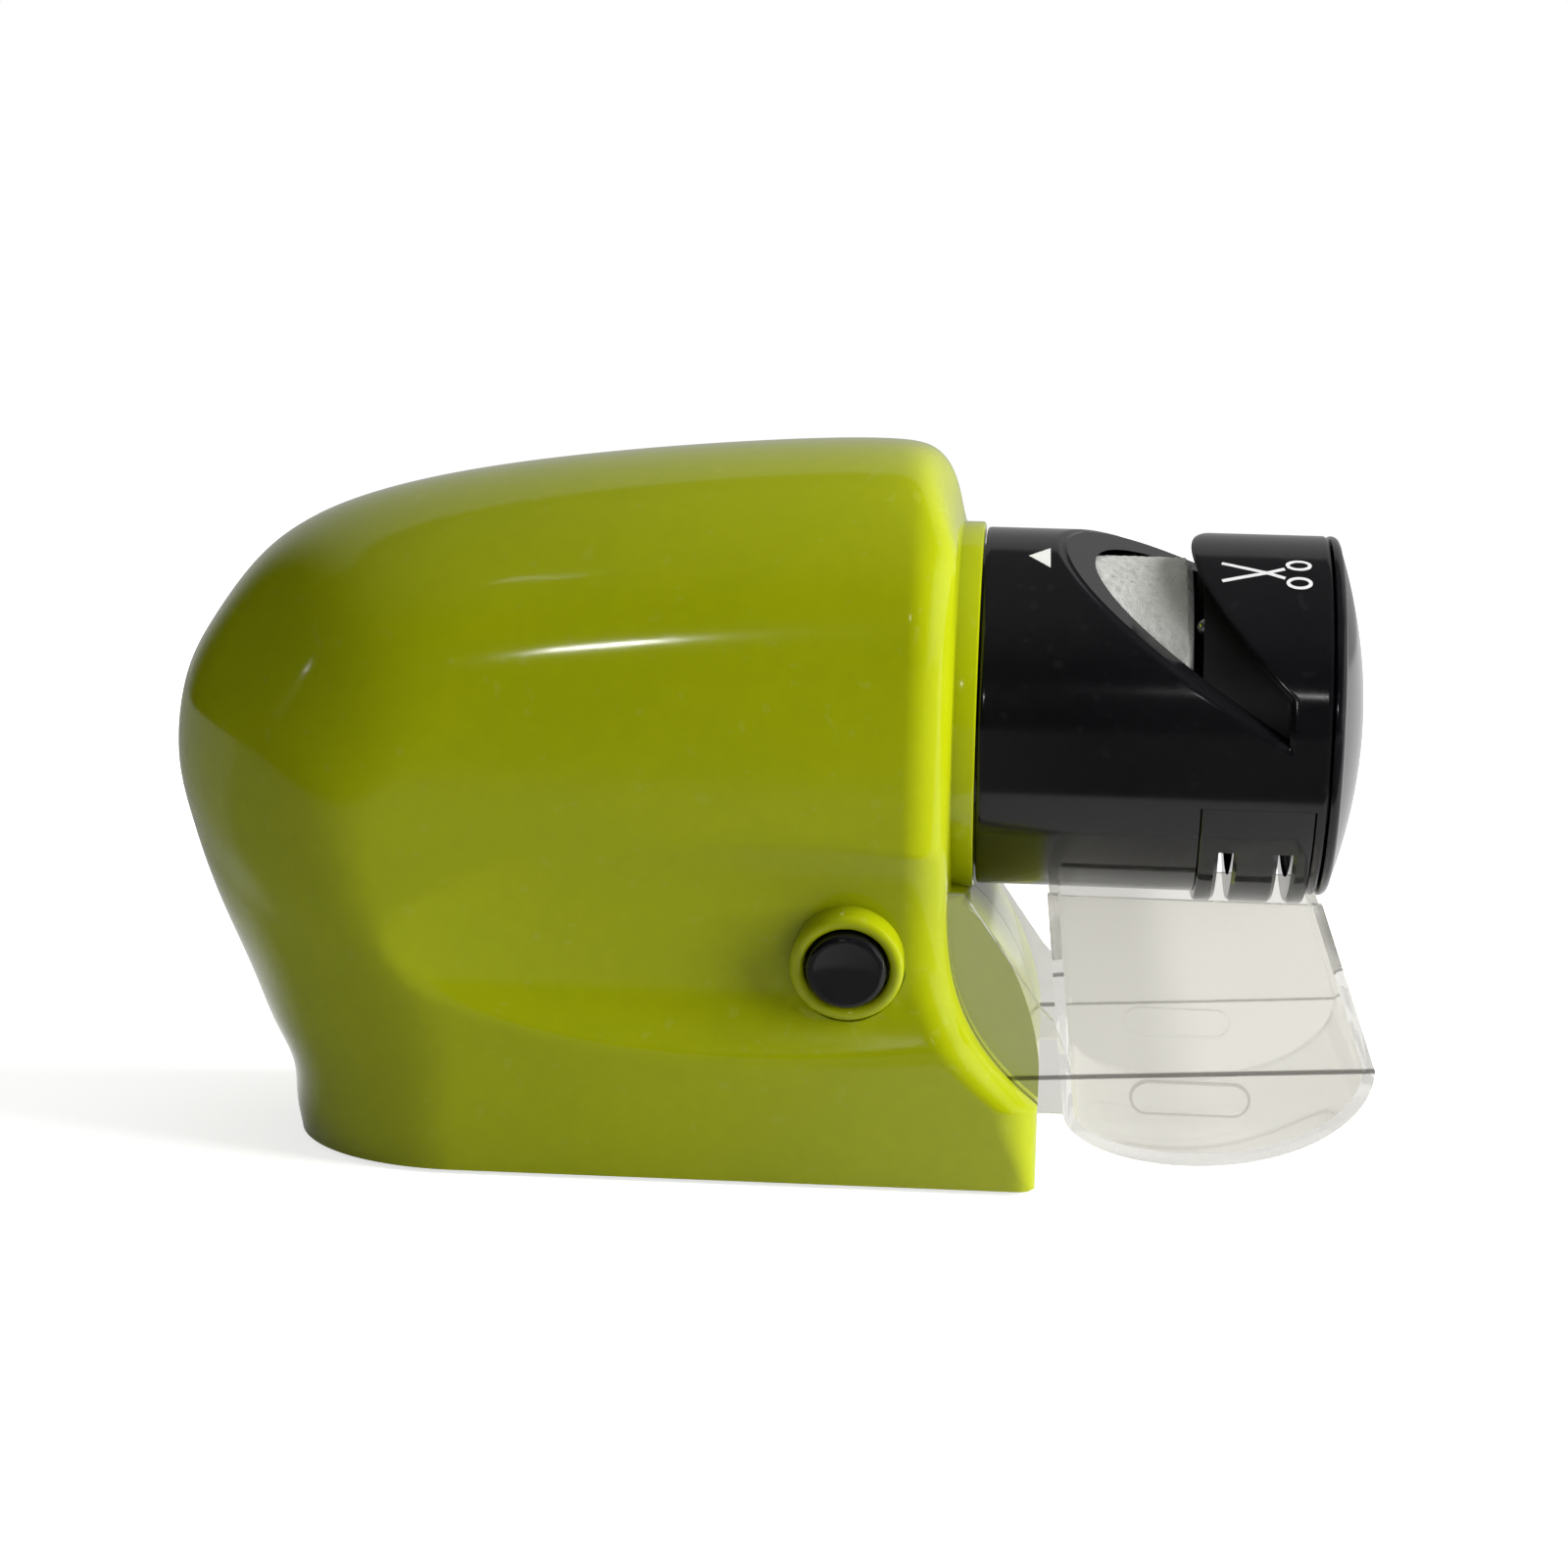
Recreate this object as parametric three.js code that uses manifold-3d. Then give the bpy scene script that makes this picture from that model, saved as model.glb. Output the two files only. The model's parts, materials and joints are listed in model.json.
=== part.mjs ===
// Battery knife and scissors sharpener: a moulded body, a turning head with two abrasive wheels
// and a clear tray.
// Millimetres, +Z up, +X towards the head, -Y towards the side with the power button.
// The origin is on the table, under the middle of the whole object.

import * as THREE from "three";
import { mergeVertices } from "three/addons/utils/BufferGeometryUtils.js";
import Module from "manifold-3d";

const wasm = await Module();
wasm.setup();

// Driving dimensions

const clearance = 0.3; // gap between pieces that touch
const samePoint = 0.0001; // points closer than this are one
const overrun = 2; // how far a cutting tool passes the surface that it cuts
const rearReach = 113.6; // from the head's seat back to the nose of the body
const trayReach = 54.7; // from the head's seat forward to the tray's front corner
const seatX = (rearReach - trayReach) / 2; // the head's seat, which every length along X is counted from
const footLift = 0.6; // how far the rubber feet hold the base off the table
const axisHeight = 62.4; // the head's axis above the base
const axisZ = footLift + axisHeight;

const body = {
  height: 99.3,
  baseHalfWidth: 31,
  widestHalfWidth: 37.5,
  widestHeight: 57,
  planTaperShare: 0.08, // how much narrower the front is than the rear
  wall: 2.2,
  faceInset: 3, // from the head's seat back to the body's front face
  footReach: 10, // from the head's seat forward to the foot's front
  footHeight: 11.2,
  heelHeight: 12, // up to which the rounding at the rear is also counted from the heel
  flareRise: 30, // height of the curve that joins the foot to the front face
  frontFillet: 6,
  footFillet: 2.5, // what the front fillet narrows to at the table
  crownDepth: 30, // depths over which the outline rounds over into the sides
  noseDepth: 42,
  baseDepth: 27,
  crownRoundShare: 2.3, // exponents of the rounding
  noseRoundShare: 2,
  taperPivotShare: 0.3, // where along the body its width is the stated one
  baseSpread: 1.4, // exponents that gather the surface's stations where it turns
  flareSpread: 1.5,
};
// The block that the tray's wings straddle
const chin = { halfWidth: 20.5, shoulder: 3.9, rise: 23, roundShare: 1.6 };
const collar = { bore: 22.7, lipRadius: 25.7, ringRadius: 28, backBore: 20.9, depth: 10.8, lipOverlap: 4 };
const neck = { radius: 22.4, flangeRadius: 24.4, flangeBack: 8.2, flangeThickness: 2, wall: 2 };
const drum = { radius: 25, end: 47, wall: 2.7, endWall: 2.4 };
const cap = { rim: 1.5, dome: 4.2, edgeRadius: 1.1, spigotDepth: 3, spigotWall: 2, plate: 1.5 };
const slotTilt = 20; // degrees that the scissors slot leans towards the user
const scissorSlot = {
  tip: 10.7, // where its slanted face leaves the drum's surface, from the seat
  slopeShare: 1.696, // run along the axis for each length of depth
  leftWall: 27.2, // the upright wall beside the wheel's end
  upperSlopeShare: 1.083,
  end: 41.5,
  endDepth: 12.5, // height above the axis where the upper slope meets the end
};
const knifeGuide = {
  start: 30.4,
  end: 45.6,
  halfAngle: 85, // degrees each way from the middle of the guide
  bulgeRadius: 23.9,
  bulgeOffset: 2.7,
  slotWidth: 2,
  firstSlot: 34.2,
  secondSlot: 42.2,
  mouthWidth: 3,
  mouthDepth: 1.2,
  slotHalfAngle: 67,
};
const scissorGuide = { start: 30, plate: 2, linerWall: 1.7, linerEnd: 43.8, halfAngle: 76, hole: 9 };
const restPin = { radius: 1.1, angle: 50, fromAxis: 20.5, length: 2.6, proud: 0.9 };

const runningGap = 0.1; // radial gap of a shaft in its bore
const arbor = { radius: 3, hubRadius: 4.5, hubStart: -11, flangeRadius: 8, flangeStart: 6.4, flangeEnd: 8.4,
  end: 45.8, socket: 8.4 };
const scissorStone = { radius: 21.4, length: 20, chamfer: 0.9 };
const spacer = { radius: 6, length: 6.1 };
const knifeStone = { radius: 19.6, length: 6, rimLength: 2.2, bevelDepth: 3.6 };
const washer = { radius: 7, thickness: 1 };
const nut = { acrossFlats: 10, thickness: 2.2 };

const motor = {
  frontX: -16, // front of the can, from the seat
  radius: 12.2,
  length: 31,
  flatHalfHeight: 9.7,
  bushRadius: 3,
  bushLength: 1.7,
  bellRadius: 11.2,
  bellLength: 4.2,
  shaftRadius: 1.15,
  shaftTail: 28,
  terminalLength: 4.5,
  terminalWidth: 2.8,
  terminalThickness: 0.6,
  terminalSpread: 6.2,
  screwSpread: 8,
};
const plate = {
  thickness: 2.4,
  bottom: 42.5,
  top: 87,
  hole: 3.6,
  inset: 0.5,
  ribDepth: 2.8,
  ribThickness: 1.8,
};
const motorScrew = { headRadius: 2, headHeight: 1.1, shankRadius: 1, length: 4.4 };

const cell = { radius: 7.1, length: 49.5, nubRadius: 2.7, nubLength: 1, pitch: 14.8, bottom: 3.7, lip: 0.5 };
const bay = {
  frontX: -17.2,
  springRoom: 2.2, // what the cells leave free for a spring
  sideGap: 0.8,
  topGap: 0.8,
  wall: 2,
  flange: 3.8,
  flangeThickness: 1.8,
};
const contact = { thickness: 0.4, halfWidth: 5.2, margin: 4.6 };
const cellSpring = { wire: 0.35, turns: 2.5, radius: 3.6, tipRadius: 2 };

const button = {
  x: -15.8, // centre, from the seat
  height: 31, // above the base
  tilt: 15, // degrees below level that it faces
  sink: 2.89, // from the body's side, before the scoop is cut, in to the bezel's seat
  bezelRadius: 7.6,
  bezelBore: 5.7,
  bezelHeight: 2.9,
  bezelCrown: 1,
  capRadius: 5.35,
  capProud: 1,
  capDish: 0.6,
  capLength: 3.6,
  capEdge: 0.9,
  stemRadius: 2,
  stemLength: 5.4,
  travel: 1.6,
  bossRadius: 9.2,
  bossDepth: 3.6,
};
const buttonSpring = { wire: 0.3, radius: 3.2, turns: 2.5 };
const powerSwitch = {
  width: 8,
  depth: 4.4,
  boreDepth: 3.4,
  legLength: 1.4,
  legWidth: 1.2,
  legThickness: 0.5,
  legSpread: 2.4,
};

// The hollow for the hand: an ellipsoid that leaves through the front edge
const scoop = { x: -18, height: 28.9, halfLength: 83, halfDepth: 16, halfHeight: 25.4, cut: 3.1 };

const tray = {
  halfWidth: 25,
  topHalfWidth: 13.5,
  wall: 1.5,
  top: 38.4, // heights above the table
  rearX: 13.4, // lengths from the seat
  rearTopX: 10.3,
  frontTopX: 47.8,
  bellyX: 30,
  bellyHeight: 4.2,
  heel: 10.9,
  creaseRear: 15.7,
  creaseFront: 18.3,
  wingBottom: 10.6,
  wingRearX: -8,
  wingTopX: -0.8,
  wingTop: 40,
  wingKneeX: 10.1,
  wingKnee: 24.8,
  gripX: 30.3,
  gripHeight: 13.5,
  gripHalfLength: 7.7,
  gripRadius: 2,
  gripProud: 0.5,
};
const door = {
  behindBay: 4.2,
  endX: -11,
  halfWidth: 17,
  thickness: 1.9,
  lugLength: 2.6,
  lugWidth: 6,
  lugThickness: 0.8,
  lugSpread: 9,
  gripRadius: 9,
  gripDepth: 0.8,
  ribHeight: 0.5,
};
const foot = { radius: 4.5, recess: 1, rearX: -68, rearSpread: 22.5, frontX: 0, frontSpread: 17 };
const screw = {
  headRadius: 2.8,
  headHeight: 1.8,
  shankRadius: 1.4,
  length: 20,
  seat: 11,
  bossRadius: 4,
  crossDepth: 0.9,
  crossWidth: 0.8,
  toeX: -5.6, // the screw in the foot of the body
  toeHeight: 5.4,
};
const detent = {
  ballRadius: 1.2,
  springRadius: 0.9,
  springLength: 4,
  springWire: 0.25,
  springTurns: 4,
  bossRadius: 2.6,
  dimpleDepth: 0.4,
};

// Where the other body screws cross the body, as shares of rearReach from the seat and of the body's height
const screwShares = [[-0.9155, 0.564], [-0.581, 0.861], [-0.2025, 0.9063], [-0.7746, 0.1611]];
const screwPlaces = [
  ...screwShares.map(([x, height]) => ({ x: x * rearReach, height: height * body.height })),
  { x: screw.toeX, height: screw.toeHeight },
];

const facets = {
  drum: 36,
  wheel: 30,
  round: 16,
  small: 10,
  nut: 6,
  wire: 4,
  wireSteps: 7,
  sector: 8,
  chin: 7,
  belly: 8,
  guide: 20,
  scoop: 24,
  fillet: 2,
  dome: 3,
  grip: 6,
};
const skinGrid = { rear: 15, foot: 2, flare: 5, face: 6, across: 9 };
const liningGrid = { rear: 8, foot: 1, flare: 3, face: 4, across: 6 };

// Solids: closed geometries go to solids for joins and cuts, and come back as geometries

function solid(geometry) {
  const bare = new THREE.BufferGeometry();
  bare.setAttribute("position", geometry.getAttribute("position").clone());
  if (geometry.index) bare.setIndex(geometry.index.clone());
  const merged = mergeVertices(bare, samePoint);
  const triVerts = new Uint32Array(merged.index.array);
  const vertProperties = new Float32Array(merged.attributes.position.array);
  return new wasm.Manifold(new wasm.Mesh({ numProp: 3, vertProperties, triVerts }));
}

function geometryOf(shape) {
  const mesh = shape.getMesh();
  const geometry = new THREE.BufferGeometry();
  geometry.setAttribute("position", new THREE.BufferAttribute(new Float32Array(mesh.vertProperties), 3));
  geometry.setIndex(new THREE.BufferAttribute(new Uint32Array(mesh.triVerts), 1));
  const flat = geometry.toNonIndexed();
  flat.computeVertexNormals();
  return flat;
}

const join = (...shapes) => shapes.reduce((all, shape) => all.add(shape));
const cut = (shape, ...tools) => tools.reduce((rest, tool) => rest.subtract(tool), shape);
const shared = (...shapes) => shapes.reduce((all, shape) => all.intersect(shape));

// A box between two corners
function box(x0, x1, y0, y1, z0, z1) {
  const geometry = new THREE.BoxGeometry(x1 - x0, y1 - y0, z1 - z0);
  return solid(geometry.translate((x0 + x1) / 2, (y0 + y1) / 2, (z0 + z1) / 2));
}

// A profile of [x from the seat, radius] turned about the head's axis
function turned(profile, segments = facets.drum, y = 0, z = axisZ) {
  const points = profile.map(([x, radius]) => new THREE.Vector2(radius, x));
  const geometry = new THREE.LatheGeometry(points, segments);
  geometry.rotateZ(-Math.PI / 2).rotateX(Math.PI / 2).translate(seatX, y, z);
  return outward(solid(geometry), geometry);
}

const rod = (radius, x0, x1, segments, y, z) =>
  turned([[x0, 0], [x0, radius], [x1, radius], [x1, 0]], segments, y, z);

const tube = (inner, outer, x0, x1, segments, y, z) =>
  turned([[x0, inner], [x0, outer], [x1, outer], [x1, inner], [x0, inner]], segments, y, z);

// An outline of [x, z] points carried along Y
function prismY(points, y0, y1) {
  const shape = new THREE.Shape(points.map(([x, z]) => new THREE.Vector2(x, z)));
  const geometry = new THREE.ExtrudeGeometry(shape, { depth: y1 - y0, bevelEnabled: false });
  return solid(geometry.rotateX(Math.PI / 2).translate(0, y1, 0));
}

// A stack of closed rings with as many points each, closed by a flat fan at both ends
function loft(rings) {
  const around = rings[0].length;
  const positions = rings.flat(2);
  const index = [];
  for (let ring = 0; ring + 1 < rings.length; ring++) {
    for (let i = 0; i < around; i++) {
      const a = ring * around + i;
      const b = ring * around + ((i + 1) % around);
      index.push(a, b, a + around, b, b + around, a + around);
    }
  }
  const last = (rings.length - 1) * around;
  for (let i = 1; i + 1 < around; i++) {
    index.push(0, i + 1, i, last, last + i, last + i + 1);
  }
  const geometry = new THREE.BufferGeometry();
  geometry.setAttribute("position", new THREE.Float32BufferAttribute(positions, 3));
  geometry.setIndex(index);
  return outward(solid(geometry), geometry);
}

// Two rings, each an outer arc followed by the inner arc back, closed at both ends by a strip between them
function band(rings) {
  const around = rings[0].length;
  const index = [];
  for (let i = 0; i < around; i++) {
    const next = (i + 1) % around;
    index.push(i, next, i + around, next, next + around, i + around);
  }
  for (let i = 0; i + 1 < around / 2; i++) {
    const [a, b, c, d] = [i, i + 1, around - 2 - i, around - 1 - i];
    index.push(a, c, b, a, d, c);
    index.push(around + a, around + b, around + c, around + a, around + c, around + d);
  }
  const geometry = new THREE.BufferGeometry();
  geometry.setAttribute("position", new THREE.Float32BufferAttribute(rings.flat(2), 3));
  geometry.setIndex(index);
  return outward(solid(geometry), geometry);
}

// A loft wound the wrong way has a negative volume, and is turned round
function outward(shape, geometry) {
  if (shape.volume() > 0) return shape;
  const index = geometry.index.array;
  for (let i = 0; i < index.length; i += 3) [index[i + 1], index[i + 2]] = [index[i + 2], index[i + 1]];
  return solid(geometry);
}

// Turns a solid about the head's axis; a positive angle leans its top towards -Y
function aboutAxis(shape, degrees) {
  return shape.translate(0, 0, -axisZ).rotate(degrees, 0, 0).translate(0, 0, axisZ);
}

// A wedge of the space round the head's axis, centred on an angle from the top towards -Y
function sector(angle, halfAngle, x0, x1, reach) {
  const ring = (x) => {
    const points = [[seatX + x, 0, axisZ]];
    for (let i = 0; i <= facets.sector; i++) {
      const turn = THREE.MathUtils.degToRad(angle - halfAngle + (2 * halfAngle * i) / facets.sector);
      points.push([seatX + x, -reach * Math.sin(turn), axisZ + reach * Math.cos(turn)]);
    }
    return points;
  };
  return loft([ring(x0), ring(x1)]);
}

// Body surface

// The side outline from the base's rear edge, up the back, round the nose and along the crown to the front
// face, as shares of rearReach behind the seat and of the body's height
const outlineShares = [
  [-0.841, 0], [-0.848, 0.045], [-0.852, 0.091], [-0.874, 0.144], [-0.905, 0.225], [-0.95, 0.337],
  [-0.985, 0.45], [-1, 0.539], [-0.988, 0.65], [-0.95, 0.735], [-0.883, 0.83], [-0.772, 0.901],
  [-0.552, 0.958], [-0.261, 0.994], [-0.117, 1], [-0.066, 0.989], [-0.0405, 0.955],
];
const faceTopShare = 0.896;
const cornerShare = 0.46; // share of the outline that faces the base, the rest faces the front

const baseZ = footLift;
const bodyTopZ = baseZ + body.height;
const faceX = seatX - body.faceInset;

const outline = new THREE.CatmullRomCurve3(
  [...outlineShares, [-body.faceInset / rearReach, faceTopShare]].map(
    ([x, z]) => new THREE.Vector3(seatX + x * rearReach, 0, baseZ + z * body.height),
  ),
  false,
  "centripetal",
);

// The front surface's place along X: foot, then a cubic curve up to the flat face
function frontX(z) {
  const up = THREE.MathUtils.clamp((z - baseZ - body.footHeight) / body.flareRise, 0, 1);
  return faceX + (body.footReach + body.faceInset) * (1 - up) ** 3;
}

// Half the body's width before its edges round over
function sideHalfWidth(x, z) {
  const up = THREE.MathUtils.clamp((z - baseZ) / body.widestHeight, 0, 1);
  const swell = (body.widestHalfWidth - body.baseHalfWidth) * Math.sin((up * Math.PI) / 2);
  const along = (x - (seatX - rearReach)) / rearReach;
  return (body.baseHalfWidth + swell) * (1 + body.planTaperShare * (body.taperPivotShare - along));
}

// How the width grows from nothing at the outline, over a depth measured square to it
function roundOver(distance, normal, z) {
  const upward = normal.z * normal.z * (normal.z < 0 ? 1 : 0);
  const up = THREE.MathUtils.smoothstep(z - baseZ, 0, body.widestHeight);
  const rear = THREE.MathUtils.lerp(body.baseDepth, body.noseDepth, up);
  const depth = THREE.MathUtils.lerp(rear, body.crownDepth, upward);
  const power = THREE.MathUtils.lerp(body.noseRoundShare, body.crownRoundShare, upward);
  const left = 1 - THREE.MathUtils.clamp(distance / depth, 0, 1);
  return (1 - left ** power) ** (1 / power);
}

function filletLoss(x, z, inset) {
  const up = THREE.MathUtils.smoothstep(z - baseZ, 0, body.footHeight);
  const full = THREE.MathUtils.lerp(body.footFillet, body.frontFillet, up);
  const radius = Math.max(full - inset, inset / 2);
  const short = radius - THREE.MathUtils.clamp(frontX(z) - inset - x, 0, radius);
  return radius - Math.sqrt(radius * radius - short * short);
}

// A point of the outline, moved inwards, and the direction inwards there
function rimPoint(along, inset) {
  const tangent = outline.getTangentAt(along);
  const normal = new THREE.Vector3(tangent.z, 0, -tangent.x);
  const rim = outline.getPointAt(along).addScaledVector(normal, inset);
  rim.z = Math.max(rim.z, baseZ + inset);
  return { rim, normal };
}

// Stations along the lower and front edge that the outline is joined to, each a point in the side view
function edgeStations(inset, grid) {
  const bottom = baseZ + inset;
  const start = rimPoint(0, inset).rim.x;
  const end = frontX(bottom) - inset;
  const top = rimPoint(1, inset).rim.z;
  const stations = [];
  for (let i = 0; i <= grid.rear; i++) {
    const share = (i / grid.rear) ** body.baseSpread;
    stations.push({ x: start + (end - start) * share, z: bottom, along: (cornerShare * i) / grid.rear });
  }
  const flareBottom = baseZ + body.footHeight;
  const flareTop = flareBottom + body.flareRise;
  const heights = [];
  for (let i = 1; i <= grid.foot; i++) heights.push(bottom + ((flareBottom - bottom) * i) / grid.foot);
  for (let i = 1; i <= grid.flare; i++) {
    heights.push(flareBottom + body.flareRise * (i / grid.flare) ** body.flareSpread);
  }
  for (let i = 1; i <= grid.face; i++) {
    heights.push(flareTop + (top - flareTop) * Math.sin(((i / grid.face) * Math.PI) / 2));
  }
  heights.forEach((z, i) => {
    const along = THREE.MathUtils.lerp(cornerShare, 1, (i + 1) / heights.length);
    stations.push({ x: frontX(z) - inset, z, along });
  });
  return stations;
}

// The whole body as one closed solid, or its shape a wall's thickness further in
function bodySolid(inset, grid) {
  const stations = edgeStations(inset, grid);
  const rows = grid.across;
  const heelX = rimPoint(0, inset).rim.x;
  const positions = [];
  for (const side of [-1, 1]) {
    for (const station of stations) {
      const { rim, normal } = rimPoint(station.along, inset);
      if (station.along === 0 || station.along === 1) Object.assign(station, { x: rim.x, z: rim.z });
      for (let row = 0; row <= rows; row++) {
        const share = (1 - Math.cos((row / rows) * Math.PI)) / 2;
        const x = THREE.MathUtils.lerp(rim.x, station.x, share);
        const z = THREE.MathUtils.lerp(rim.z, station.z, share);
        const low = 1 - THREE.MathUtils.smoothstep(z - baseZ, body.heelHeight / 3, body.heelHeight);
        const own = (x - rim.x) * normal.x + (z - rim.z) * normal.z;
        const distance = Math.max(own, (x - heelX) * low);
        const width = (sideHalfWidth(x, z) - inset) * roundOver(distance, normal, z);
        const half = Math.max(width - filletLoss(x, z, inset) * (width / sideHalfWidth(x, z)), 0);
        positions.push(x, side * half, z);
      }
    }
  }
  return outwardGrid(positions, stations.length, rows);
}

// Both sides' grids, joined at the outline, where their width is nothing, and across the base and front
function outwardGrid(positions, columns, rows) {
  const stride = rows + 1;
  const far = columns * stride;
  const index = [];
  const quad = (a, b, c, d) => index.push(a, b, c, a, c, d);
  for (let column = 0; column + 1 < columns; column++) {
    for (let row = 0; row < rows; row++) {
      const a = column * stride + row;
      quad(a, a + stride, a + stride + 1, a + 1);
      quad(far + a, far + a + 1, far + a + stride + 1, far + a + stride);
    }
    const edge = column * stride + rows;
    quad(edge, edge + stride, far + edge + stride, far + edge);
  }
  const geometry = new THREE.BufferGeometry();
  geometry.setAttribute("position", new THREE.Float32BufferAttribute(positions, 3));
  geometry.setIndex(index);
  const merged = mergeVertices(geometry, samePoint);
  const kept = [];
  const corner = merged.index.array;
  for (let i = 0; i < corner.length; i += 3) {
    const [a, b, c] = [corner[i], corner[i + 1], corner[i + 2]];
    if (a !== b && b !== c && c !== a) kept.push(a, b, c);
  }
  merged.setIndex(kept);
  return outward(solid(merged), merged);
}

// Shapes shared by several pieces

const atSeat = (x) => seatX + x;

// A round bar along Y
function barY(radius, x, z, y0, y1, segments = facets.small) {
  const geometry = new THREE.CylinderGeometry(radius, radius, y1 - y0, segments);
  return solid(geometry.translate(x, (y0 + y1) / 2, z));
}

// A round bar along Z
function barZ(radius, x, y, z0, z1, segments = facets.small) {
  const geometry = new THREE.CylinderGeometry(radius, radius, z1 - z0, segments);
  return solid(geometry.rotateX(Math.PI / 2).translate(x, y, (z0 + z1) / 2));
}

// A profile of [radius, height] turned about Z
function turnedZ(profile, segments = facets.round) {
  const geometry = new THREE.LatheGeometry(profile.map(([r, h]) => new THREE.Vector2(r, h)), segments);
  return solid(geometry.rotateX(Math.PI / 2));
}

// A coil round Z from height z0 to z1, its radius going evenly from one end's to the other's
function coil(radius, tipRadius, wire, turns, z0, z1) {
  const steps = Math.round(turns * facets.wireSteps);
  const rings = [];
  for (let i = 0; i <= steps; i++) {
    const share = i / steps;
    const turn = share * turns * 2 * Math.PI;
    const reach = THREE.MathUtils.lerp(radius, tipRadius, share);
    const z = THREE.MathUtils.lerp(z0 + wire, z1 - wire, share);
    const ring = [];
    for (let k = 0; k < facets.wire; k++) {
      const around = (k / facets.wire) * 2 * Math.PI;
      const r = reach + wire * Math.cos(around);
      ring.push([r * Math.cos(turn), r * Math.sin(turn), z + wire * Math.sin(around)]);
    }
    rings.push(ring);
  }
  return loft(rings);
}

// Body shells

const scoopTool = (grow) => {
  const ball = new THREE.SphereGeometry(1, facets.scoop, facets.round);
  ball.scale(scoop.halfLength + grow, scoop.halfDepth + grow, scoop.halfHeight + grow);
  const z = baseZ + scoop.height;
  const x = atSeat(scoop.x);
  return solid(ball.translate(x, -(sideHalfWidth(x, z) - scoop.cut + scoop.halfDepth), z));
};

// The chin's side view: an upright foot, then a superellipse back to the face
function chinSolid(inset) {
  const front = atSeat(body.footReach) - inset;
  const shoulder = baseZ + body.footHeight + chin.shoulder;
  const back = faceX - body.wall;
  const points = [[back, baseZ + inset], [front, baseZ + inset]];
  for (let i = 0; i <= facets.chin; i++) {
    const turn = ((i / facets.chin) * Math.PI) / 2;
    const reach = Math.cos(turn) ** (2 / chin.roundShare);
    const rise = Math.sin(turn) ** (2 / chin.roundShare);
    points.push([faceX + (front - faceX) * reach, shoulder + (chin.rise - inset) * rise]);
  }
  points.push([back, shoulder + chin.rise - inset]);
  return prismY(points, -(chin.halfWidth - inset), chin.halfWidth - inset);
}

// Places on the button's own axis: heights are counted outwards from the bezel's seat
const buttonSeat = sideHalfWidth(atSeat(button.x), baseZ + button.height) - button.sink;
const buttonAxis = new THREE.Matrix4()
  .makeTranslation(atSeat(button.x), -buttonSeat, baseZ + button.height)
  .multiply(new THREE.Matrix4().makeRotationX(Math.PI / 2 + THREE.MathUtils.degToRad(button.tilt)));
const onButtonAxis = (shape) => shape.transform(buttonAxis.elements);
const capTop = button.bezelHeight + button.capProud;
const capFoot = capTop - button.capLength;
const switchFront = -(button.bossDepth + clearance);

const plateFront = atSeat(motor.frontX) + clearance + plate.thickness;
const detentY = neck.flangeRadius + clearance + detent.ballRadius;
const detentX = atSeat(-(neck.flangeBack - neck.flangeThickness / 2));
const flangePocket = {
  back: neck.flangeBack + clearance,
  front: neck.flangeBack - neck.flangeThickness - clearance,
};

function wingSlot(side) {
  const y = [side * (tray.halfWidth - tray.wall - clearance), side * (tray.halfWidth + clearance)];
  const [low, high] = [Math.min(...y), Math.max(...y)];
  return box(atSeat(tray.wingRearX) - overrun, atSeat(tray.rearX), low, high,
    tray.wingBottom - clearance, tray.wingTop + clearance);
}

const bayFront = atSeat(bay.frontX);
const bayRear = bayFront - cell.length - cell.nubLength - bay.springRoom - 3 * clearance;
const doorRear = bayRear - door.behindBay;
const doorFront = atSeat(door.endX);
const doorBottom = baseZ;
const doorTop = baseZ + door.thickness;
const lugBottom = baseZ + body.wall - door.lugThickness;

function doorOpening() {
  const x0 = doorRear - clearance;
  const x1 = doorFront + clearance;
  const half = door.halfWidth + clearance;
  const opening = box(x0, x1, -half, half, baseZ - overrun, baseZ + body.wall + overrun / 2);
  const pockets = [-1, 1].map((side) => {
    const y = side * door.lugSpread;
    const reach = door.lugWidth / 2 + clearance;
    const z = lugBottom - clearance;
    return box(x1 - overrun, x1 + door.lugLength + clearance, y - reach, y + reach, z, z + body.wall);
  });
  return join(opening, ...pockets);
}

const footPlaces = [foot.rearX, foot.frontX].flatMap((x, i) =>
  [-1, 1].map((side) => ({ x: atSeat(x), y: side * (i ? foot.frontSpread : foot.rearSpread) })),
);

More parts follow.
